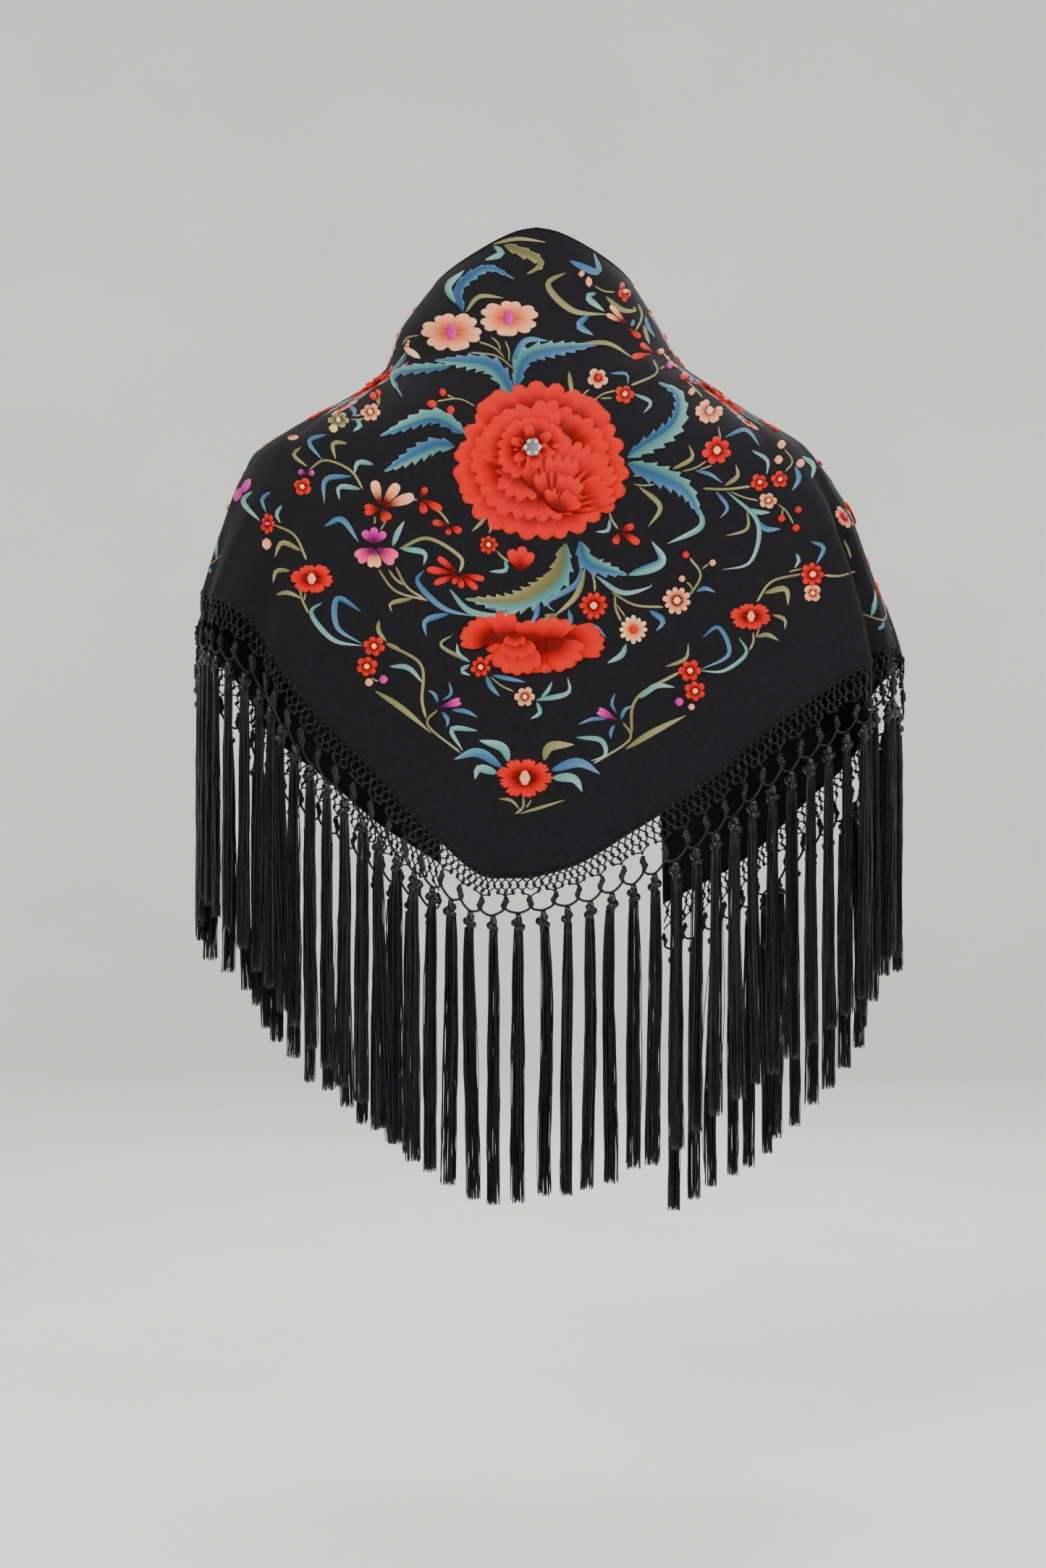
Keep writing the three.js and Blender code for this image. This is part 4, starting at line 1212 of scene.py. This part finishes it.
border = {
    "above": 30,
    "wave": 9,
    "step": 46,
    "from": 268,
    "toLeft": 560,
    "toRight": 590,
    "stem": 2.2,
    "leaf": 4.6,
    "leaves": [(0.15, 0.5, -1.5), (0.45, 0.2, 1.6), (0.7, 1.02, -1.3)],  # root, tip, lift
    "blossomAt": (0.86, 1.3),
    "wideBlossom": (6, 21, 18),
    "roundBlossom": (7, 15, 15),
    "bud": (12, 4, 4.5),
}


def stitchBorder(side, end):
    hemAt = leftHemAt if side < 0 else rightHemAt
    edgeAt = leftEdgeAt if side < 0 else rightEdgeAt

    def spot(along, above):
        turn = abs(np.interp(side * along, unrolledLength, unrollTurns))
        return side * along, hemAt(turn * drape["hemTurnAtFront"] / edgeAt(-300.0)) + above

    flosses = ("teal", "blue", "sage")
    step, above = border["step"], border["above"]
    for i, start in enumerate(np.arange(border["from"], end - step / 2, step)):
        rise = border["wave"] * (1 if i % 2 else -1)

        def onScroll(share):
            return spot(start + share * step, above + rise * np.sin(np.pi * share))

        track = [onScroll(share) for share in (0, 0.33, 0.66, 1)]
        stitchStem("round", "sage", border["stem"], *np.ravel(track))
        for k, (near, far, lift) in enumerate(border["leaves"]):
            tip = spot(start + far * step, above + rise * lift)
            bend = spot(start + (near + far) / 2 * step + 3, above + rise * lift * 0.75)
            stitchBlade("round", flosses[(i + k) % 3], border["leaf"], *onScroll(near), *bend, *tip)
        share, drop = border["blossomAt"]
        x, y = spot(start + share * step, above - rise * drop)
        if i % 2:
            petals, width, height = border["wideBlossom"]
            stitchBlossom("round", "rose", "peach", "red", petals, x, y, width, height, 15 * i, 2)
        else:
            petals, width, height = border["roundBlossom"]
            stitchBlossom("round", "red", "red", "cream", petals, x, y, width, height, 15 * i)
            aside, up, size = border["bud"]
            stitchBud("round", "peach", x + side * aside, y + up, size, size)


stitchBack()
for values in sprays:
    stitchSpray(*values)
stitchBorder(-1, border["toLeft"])
stitchBorder(1, border["toRight"])
stitching = [leafStitches.make("embroideredLeaves"), petalStitches.make("embroideredBlossoms")]
print("embroidery laid")


# The hem on each side, measured along it from the point at the back.
class HemLine:
    def __init__(self, side):
        self.side = side
        share = np.linspace(0, 1, net["hemSamples"])
        self.points = drapedCloth(side * share, np.ones_like(share))
        self.lengths = lengthsAlong(self.points)
        along = np.gradient(self.points, axis=0)
        self.outs = unit(np.stack([along[:, 1] * side, -along[:, 0] * side, np.zeros(len(along))], -1))
        self.pitch = self.lengths[-1] / net["tasselsPerSide"]
        # the hem's slope, evened out over a few meshes and let go at both ends
        rise = np.gradient(self.points[:, 2], self.lengths)
        end = self.lengths[-1]
        even = np.linspace(0, end, net["hemSamples"])
        rise = np.interp(even, self.lengths, rise)
        window = np.hanning(2 * net["slopeWindow"] + 1)
        rise = np.convolve(np.pad(rise, net["slopeWindow"], mode="edge"), window / window.sum(), "valid")
        atPoint, atFront = net["slopeFades"]
        fade = smoothStep(even, 0, atPoint) * (1 - smoothStep(even, end - atFront, end))
        self.even = even
        self.slope = np.clip(rise, -net["steepest"], net["steepest"]) * fade

    def slopeAt(self, length):
        return np.interp(length, self.even, self.slope)

    def at(self, length):
        # the place on the cloth's inner face, and the direction out in plan
        place = np.stack([np.interp(length, self.lengths, self.points[:, k]) for k in range(3)], -1)
        out = unit(np.stack([np.interp(length, self.lengths, self.outs[:, k]) for k in range(3)], -1))
        return place - out * cloth["thickness"], out


net = {
    "tasselsPerSide": 40,
    "dropAtPoint": 0.025,
    "dropOnSlope": 0.041,
    "dropRamp": 0.11,
    "rows": {"first": 0.0, "second": 0.22, "third": 0.42, "wideTop": 0.6, "wideFoot": 0.84, "foot": 1.0},
    "cordRadius": 0.0006,
    "slackRadius": 0.00095,
    "knotRadius": 0.00135,
    "knotLength": 0.0036,
    "wideKnotRadius": 0.0022,
    "wideKnotLength": 0.0092,
    "squareness": 0.85,
    "knotJitter": (0.00025, 0.012, 0.0004),
    "bow": 0.0003,
    "gap": 0.36,
    "dome": 0.03,
    "sag": 0.05,
    "knotBend": (0.6, 0.3),
    "knotSwell": (0.5, 0.6, 0.16),
    "knotSizes": (0.9, 1.15),
    "sides": 4,
    "hemSamples": 1601,
    "slopeWindow": 70,
    "slopeFades": (0.04, 0.07),
    "steepest": 0.8,
    "seed": 11,
}
hemLines = {"left": HemLine(-1), "right": HemLine(1)}


def netDropAt(length):
    ramped = smoothStep(length, 0, net["dropRamp"])
    return net["dropAtPoint"] + (net["dropOnSlope"] - net["dropAtPoint"]) * ramped


def netPlace(line, length, drop, out):
    # drop is in metres below the hem
    place, outwards = line.at(length)
    place = place + outwards * np.asarray(out)[..., None]
    place[..., 2] -= drop
    return place


def makeNet(side):
    line = hemLines[side]
    random = np.random.default_rng(net["seed"] + line.side)
    fineStep = line.pitch / 3
    count = 3 * net["tasselsPerSide"]
    rows = net["rows"]

    def spots(along, share, out):
        # the net's own grid: fine rows stand square to the hem, and the wide meshes hang from them
        sine = line.slopeAt(along)
        shift = net["squareness"] * np.maximum(rows["wideTop"] - share, 0) * netDropAt(along) * sine
        length = np.clip(along - shift, 0, line.lengths[-1])
        return netPlace(line, length, share * netDropAt(length), out)

    def knots(columns, share, spread=1.0):
        number = len(columns)
        aside, down, out = net["knotJitter"]
        along = columns * fineStep + random.normal(0, aside, number) * spread
        along = np.clip(along, out, line.lengths[-1] - out)
        depth = share + random.normal(0, down, number) * spread
        return np.stack([along, depth, random.normal(0, out, number)], -1)

    whole = np.arange(count + 1.0)
    first = knots(whole, rows["first"], 0.4)
    second = knots(np.arange(count) + 0.5, rows["second"])
    third = knots(whole, rows["third"])
    wideTop = knots(np.arange(0, count + 1.0, 3), rows["wideTop"])
    wideFoot = wideTop + [0, rows["wideFoot"] - rows["wideTop"], 0]
    foot = knots(np.arange(1.5, count + 1.0, 3), rows["foot"])
    foot[:, 2] = 0

    def shareOf(length, centres):
        # a length square to the hem, as a share of the net's depth
        sine = line.slopeAt(centres[:, 0])
        return length / (netDropAt(centres[:, 0]) * np.sqrt(1 - sine**2))

    def cords(pairs, radius, steps=6):
        # from the foot of one knot to the head of the next, so that each mesh comes out six-sided
        t = np.linspace(0, 1, steps)[None]
        paths = []
        for start, end, dome, gap in pairs:
            top = start[:, 1] + shareOf(gap, start)
            bottom = end[:, 1] - shareOf(gap, end)
            turned = smoothStep(t, 0, 1)
            along = start[:, :1] * (1 - turned) + end[:, :1] * turned
            share = top[:, None] * (1 - t) + bottom[:, None] * t - dome * 4 * t * (1 - t)
            out = start[:, 2:] * (1 - t) + end[:, 2:] * t
            out = out + net["bow"] * np.sin(np.pi * t) * random.choice([-1, 1], len(start))[:, None]
            paths.append(spots(along, share, out))
        return tubes(np.concatenate(paths), radius, net["sides"])

    gap = net["knotLength"] * net["gap"]
    sag = -net["sag"]
    fine = [
        (first[:-1], second, 0, gap), (first[1:], second, 0, gap),
        (second, third[:-1], 0, gap), (second, third[1:], 0, gap),
        (third[3:-1:3], wideTop[1:-1], 0, gap),
        (third[1::3], wideTop[:-1], net["dome"], gap), (third[2::3], wideTop[1:], net["dome"], gap),
    ]
    slack = [(wideFoot[:-1], foot, sag, 0), (wideFoot[1:], foot, sag, 0)]

    def wrapped(centres, length, radius, steps=6, sides=5):
        # a short knot, bent like an S, with its wraps standing proud
        t = np.linspace(0, 1, steps)[None]
        number = len(centres)
        bendAside, bendOut = net["knotBend"]
        least, power, wraps = net["knotSwell"]
        lean = random.choice([-1, 1], (number, 1)) * random.uniform(0.5, 1, (number, 1))
        along = centres[:, :1] + lean * radius * bendAside * np.sin(2 * np.pi * t)
        share = centres[:, 1:2] + (t - 0.5) * shareOf(length, centres)[:, None]
        out = centres[:, 2:] + radius * bendOut * lean * np.cos(2 * np.pi * t)
        swell = least + (1 - least) * np.sin(np.pi * t) ** power
        thick = radius * swell * (1 + wraps * np.cos(6 * np.pi * t))
        return tubes(spots(along, share, out), thick * random.uniform(*net["knotSizes"], (number, 1)), sides)

    wide = wideTop.copy()
    wide[:, 1] = (rows["wideTop"] + rows["wideFoot"]) / 2
    if side == "right":
        wide = wide[1:]
    parts = [cords(fine, net["cordRadius"]), cords(slack, net["slackRadius"])]
    parts += [wrapped(row, net["knotLength"], net["knotRadius"]) for row in (first, second, third[1:-1])]
    parts.append(wrapped(wide, net["wideKnotLength"], net["wideKnotRadius"], 10, 7))
    piece = makeMesh(f"knottedNet_{side}", *joined(parts))
    piece.data.materials.append(netMaterial)
    return piece


fringe = {
    "stretches": {"back": (0, 13), "arm": (13, 21), "chest": (21, 29), "front": (29, 40)},
    "cordHeight": 0.0026,
    "knotHeight": 0.014,
    "length": 0.192,
    "lengthOverArm": 0.175,
    "armSpan": (0.25, 0.38, 0.48, 0.64),
    "strands": 58,
    "strandPoints": 13,
    "strandRadius": 0.00043,
    "strandSides": 3,
    "across": (3.2, 1.2, 1.1),  # half width in mm: at the knot, more below it, more at the tips
    "outwards": (2.0, 0.4, 0.6),
    "parting": 7,
    "sway": (1.2, 0.9, 0.6),
    "knotSides": 7,
    "winding": (0.2, 3.3),  # half turns: where the hank starts, and how far it winds
    "loop": (0.9, 1.9),  # mm: the least, and how much more in the middle
    "hank": (1.35, 1.3),
    "hankDrop": (2.2, 10.4),  # mm: to its top, and its height
    "crinkles": [(0.32, 5, 9), (0.16, 13, 21)],  # amplitude, least and most waves
    "uneven": 0.0022,
    "ragged": 0.016,
    "tuck": 0.004,
    "strays": 1,
    "strayReach": (2.4, 1.6),
    "seed": 40,
}


def tasselFrames(line, first, last):
    # where each tassel hangs: the middle of its mesh's foot, aside and out in plan, and how far round
    number = np.arange(first, last)
    near, nearOut = line.at(number * line.pitch)
    far, farOut = line.at((number + 1) * line.pitch)
    out = unit(nearOut + farOut)
    length = (number + 0.5) * line.pitch
    place = (near + far) / 2
    place[:, 2] -= (netDropAt(number * line.pitch) + netDropAt((number + 1) * line.pitch)) / 2
    aside = np.stack([-out[:, 1], out[:, 0], np.zeros(len(out))], -1)
    return place, aside, out, length


def makeFringe(side, name, first, last):
    line = hemLines[side]
    random = np.random.default_rng(fringe["seed"] + 10 * first + line.side)
    place, aside, out, length = tasselFrames(line, first, last)
    count = len(place)
    start, full, leaving, past = fringe["armSpan"]
    overArm = smoothStep(length, start, full) * (1 - smoothStep(length, leaving, past))
    hang = fringe["length"] + (fringe["lengthOverArm"] - fringe["length"]) * overArm
    hang = hang + random.normal(0, fringe["uneven"], count)

    def spot(a, o, drop):
        # a place beside a tassel's root, with one row to each tassel
        shape = (count,) + (1,) * (np.ndim(a) - 1) + (3,)
        at = place.reshape(shape) + aside.reshape(shape) * a[..., None] + out.reshape(shape) * o[..., None]
        at[..., 2] -= drop
        return at

    # the big knot: a thick hank wound nearly twice round, over a straight core
    t = np.linspace(0, 1, 21)[None]
    way = random.choice([-1, 1], count)[:, None]
    begin, more = fringe["winding"]
    theta = way * (begin + more * t) * np.pi + random.uniform(0, 2 * np.pi, (count, 1))
    size = random.uniform(0.9, 1.1, (count, 1))
    least, more = fringe["loop"]
    loop = size * mm * (least + more * np.sin(np.pi * np.clip(1.08 * t - 0.04, 0, 1)) ** 0.8)
    knotTop = fringe["cordHeight"] * 0.6
    drop, more = fringe["hankDrop"]
    knotDrop = knotTop + mm * (drop + more * t) + 0 * loop
    least, more = fringe["hank"]
    hank = size * mm * (least + more * np.sin(np.pi * t) ** 0.7)
    knots = tubes(spot(loop * np.cos(theta), 0.8 * loop * np.sin(theta), knotDrop), hank, fringe["knotSides"])
    t = np.linspace(0, 1, 8)[None]
    flat = np.zeros((count, 8))
    coreDrop = knotTop - 0.001 + t * (fringe["knotHeight"] + 0.0035) + flat
    least, more = fringe["loop"]
    coreRadius = mm * (least + more * np.sin(np.pi * (0.15 + 0.75 * t))) + flat
    core = tubes(spot(0.0005 * np.sin(5 * t) + flat, flat, coreDrop), coreRadius, fringe["knotSides"])

    # the skirt: crinkled strands that leave the knot in a bundle and part a little towards their tips
    strands, steps = fringe["strands"], fringe["strandPoints"]
    t = (np.linspace(0, 1, steps) ** 1.15)[None, None]
    shape = (count, strands, 1)
    angle = random.uniform(0, 2 * np.pi, shape)
    reach = np.sqrt(random.uniform(0.02, 1, shape))
    spread = 1 - np.exp(-fringe["parting"] * t)
    knot, below, tips = fringe["across"]
    acrossHalf = mm * (knot + below * spread + tips * t) * random.uniform(0.9, 1.12, (count, 1, 1))
    knot, below, tips = fringe["outwards"]
    outHalf = mm * (knot + below * spread + tips * t)
    drift = random.normal(0, 0.25, shape) * t
    a = acrossHalf * reach * np.cos(angle + drift)
    o = outHalf * reach * np.sin(angle + drift)
    for amplitude, low, high in fringe["crinkles"]:
        phase = random.uniform(0, 2 * np.pi, shape)
        waves = random.uniform(low, high, shape)
        a = a + mm * amplitude * spread * np.sin(waves * 2 * t + phase)
        o = o + mm * amplitude * spread * np.cos(waves * 2 * t + phase * 1.7)
    sway = random.normal(0, 1.0, (count, 1, 1))
    lean, curve, outwards = fringe["sway"]
    a = a + mm * sway * (lean * t + curve * np.sin(4.2 * t + 3 * sway))
    o = o + mm * random.normal(0, outwards, (count, 1, 1)) * t
    stray = np.zeros(shape)
    stray[:, : fringe["strays"]] = random.normal(0, 1, (count, fringe["strays"], 1))
    sideways, outwards = fringe["strayReach"]
    a = a + mm * sideways * stray * np.sin(np.pi * t) * (1 - 0.3 * t)
    o = o + mm * outwards * np.abs(stray) * np.sin(np.pi * t)
    ragged = 1 - np.abs(random.normal(0, fringe["ragged"], shape))
    top = fringe["cordHeight"] + fringe["knotHeight"] - fringe["tuck"]
    drop = top + t * (hang[:, None, None] + fringe["tuck"]) * ragged
    paths = spot(a, o, drop)
    thin = fringe["strandRadius"] * random.uniform(0.8, 1.15, shape) * (1 - 0.35 * t**6)
    bundle = tubes(paths.reshape(-1, steps, 3), thin.reshape(-1, steps), fringe["strandSides"])
    skirt = makeMesh(f"tassels_{name}_{side}", *bundle)
    skirt.data.materials.append(fringeMaterial)
    knotted = makeMesh(f"tasselKnots_{name}_{side}", *joined([knots, core]))
    knotted.data.materials.append(knotMaterial)
    return skirt, knotted


nets = {side: makeNet(side) for side in hemLines}
tassels = {}
for side in hemLines:
    for name, (first, last) in fringe["stretches"].items():
        tassels[name, side] = makeFringe(side, name, first, last)
print("net and tassels made")


# Studio: a pale round floor that rises into a pale wall all round, and soft light.
studio = {
    "floor": -0.86,
    "radius": 4.6,
    "wall": 4.4,
    "bend": 1.3,
    "shades": ((0.84, 0.84, 0.83), (0.88, 0.88, 0.87), 0.3, 0.7),
    "air": (0.86, 0.87, 0.88, 1),
    "airStrength": 0.68,
    "lights": [  # name, place, target, size, power, colour
        ("keyLight", (-1.6, -2.6, 1.7), (0, 0, -0.25), (1.8, 1.4), 96, (1, 0.985, 0.965)),
        ("fillLight", (2.1, -2.0, 0.8), (0, 0, -0.3), (1.8, 1.8), 54, (0.97, 0.985, 1)),
        ("topLight", (0.1, 0.6, 2.3), (0, 0, -0.2), (2.0, 1.6), 38, (1, 1, 1)),
        ("frontLight", (0.6, 2.0, 1.2), (0, 0, -0.3), (1.6, 1.2), 24, (1, 1, 1)),
    ],
}


def makeStudio():
    deselect()
    bpy.ops.mesh.primitive_circle_add(vertices=96, radius=studio["radius"], fill_type="NGON")
    floor = bpy.context.object
    floor.name = floor.data.name = "floor"
    for vertex in floor.data.vertices:
        vertex.co.z = studio["floor"]
    bpy.ops.object.mode_set(mode="EDIT")
    bpy.ops.mesh.select_mode(type="EDGE")
    bpy.ops.mesh.select_all(action="SELECT")
    bpy.ops.mesh.region_to_loop()
    bpy.ops.mesh.extrude_edges_move(TRANSFORM_OT_translate={"value": (0, 0, studio["wall"])})
    bpy.ops.object.mode_set(mode="OBJECT")
    for edge in floor.data.edges:
        ends = [floor.data.vertices[v].co.z for v in edge.vertices]
        edge.select = all(abs(z - studio["floor"]) < 1e-4 for z in ends)
    bpy.ops.object.mode_set(mode="EDIT")
    bpy.ops.mesh.bevel(offset=studio["bend"], segments=16, affect="EDGES")
    bpy.ops.mesh.select_all(action="SELECT")
    bpy.ops.mesh.normals_make_consistent(inside=True)
    bpy.ops.object.mode_set(mode="OBJECT")
    floor.data.shade_smooth()
    material, tree, shader = newMaterial("paleFloor", **{"Roughness": 0.85, "Specular IOR Level": 0.2})
    coordinates = tree.nodes.new("ShaderNodeTexCoord")
    mottle = noiseNode(tree, coordinates.outputs["Object"], 3.0, 3.0)
    tree.links.new(ramp(tree, mottle, *studio["shades"]), shader.inputs["Base Color"])
    floor.data.materials.append(material)


def addLight(name, place, target, size, energy, colour):
    deselect()
    bpy.ops.object.light_add(type="AREA", location=place)
    light = bpy.context.object
    light.name = name
    light.rotation_euler = (Vector(target) - Vector(place)).to_track_quat("-Z", "Y").to_euler()
    light.data.shape = "RECTANGLE"
    light.data.size, light.data.size_y = size
    light.data.energy = energy
    light.data.color = colour


makeStudio()
for values in studio["lights"]:
    addLight(*values)
world = bpy.data.worlds.new("studioAir")
bpy.context.scene.world = world
world.use_nodes = True
background = world.node_tree.nodes["Background"]
background.inputs["Color"].default_value = studio["air"]
background.inputs["Strength"].default_value = studio["airStrength"]
print("studio lit")

# What each piece rides on and stands for.
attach(panel, "root")
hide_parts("panel")
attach(hem, "root")
for piece in stitching:
    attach(piece, "root")
for side, piece in nets.items():
    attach(piece, "root")
    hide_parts(f"net_{side}")
for (name, side), (skirt, knotted) in tassels.items():
    for piece in (skirt, knotted):
        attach(piece, "root")
    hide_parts(f"fringe_{name}_{side}")
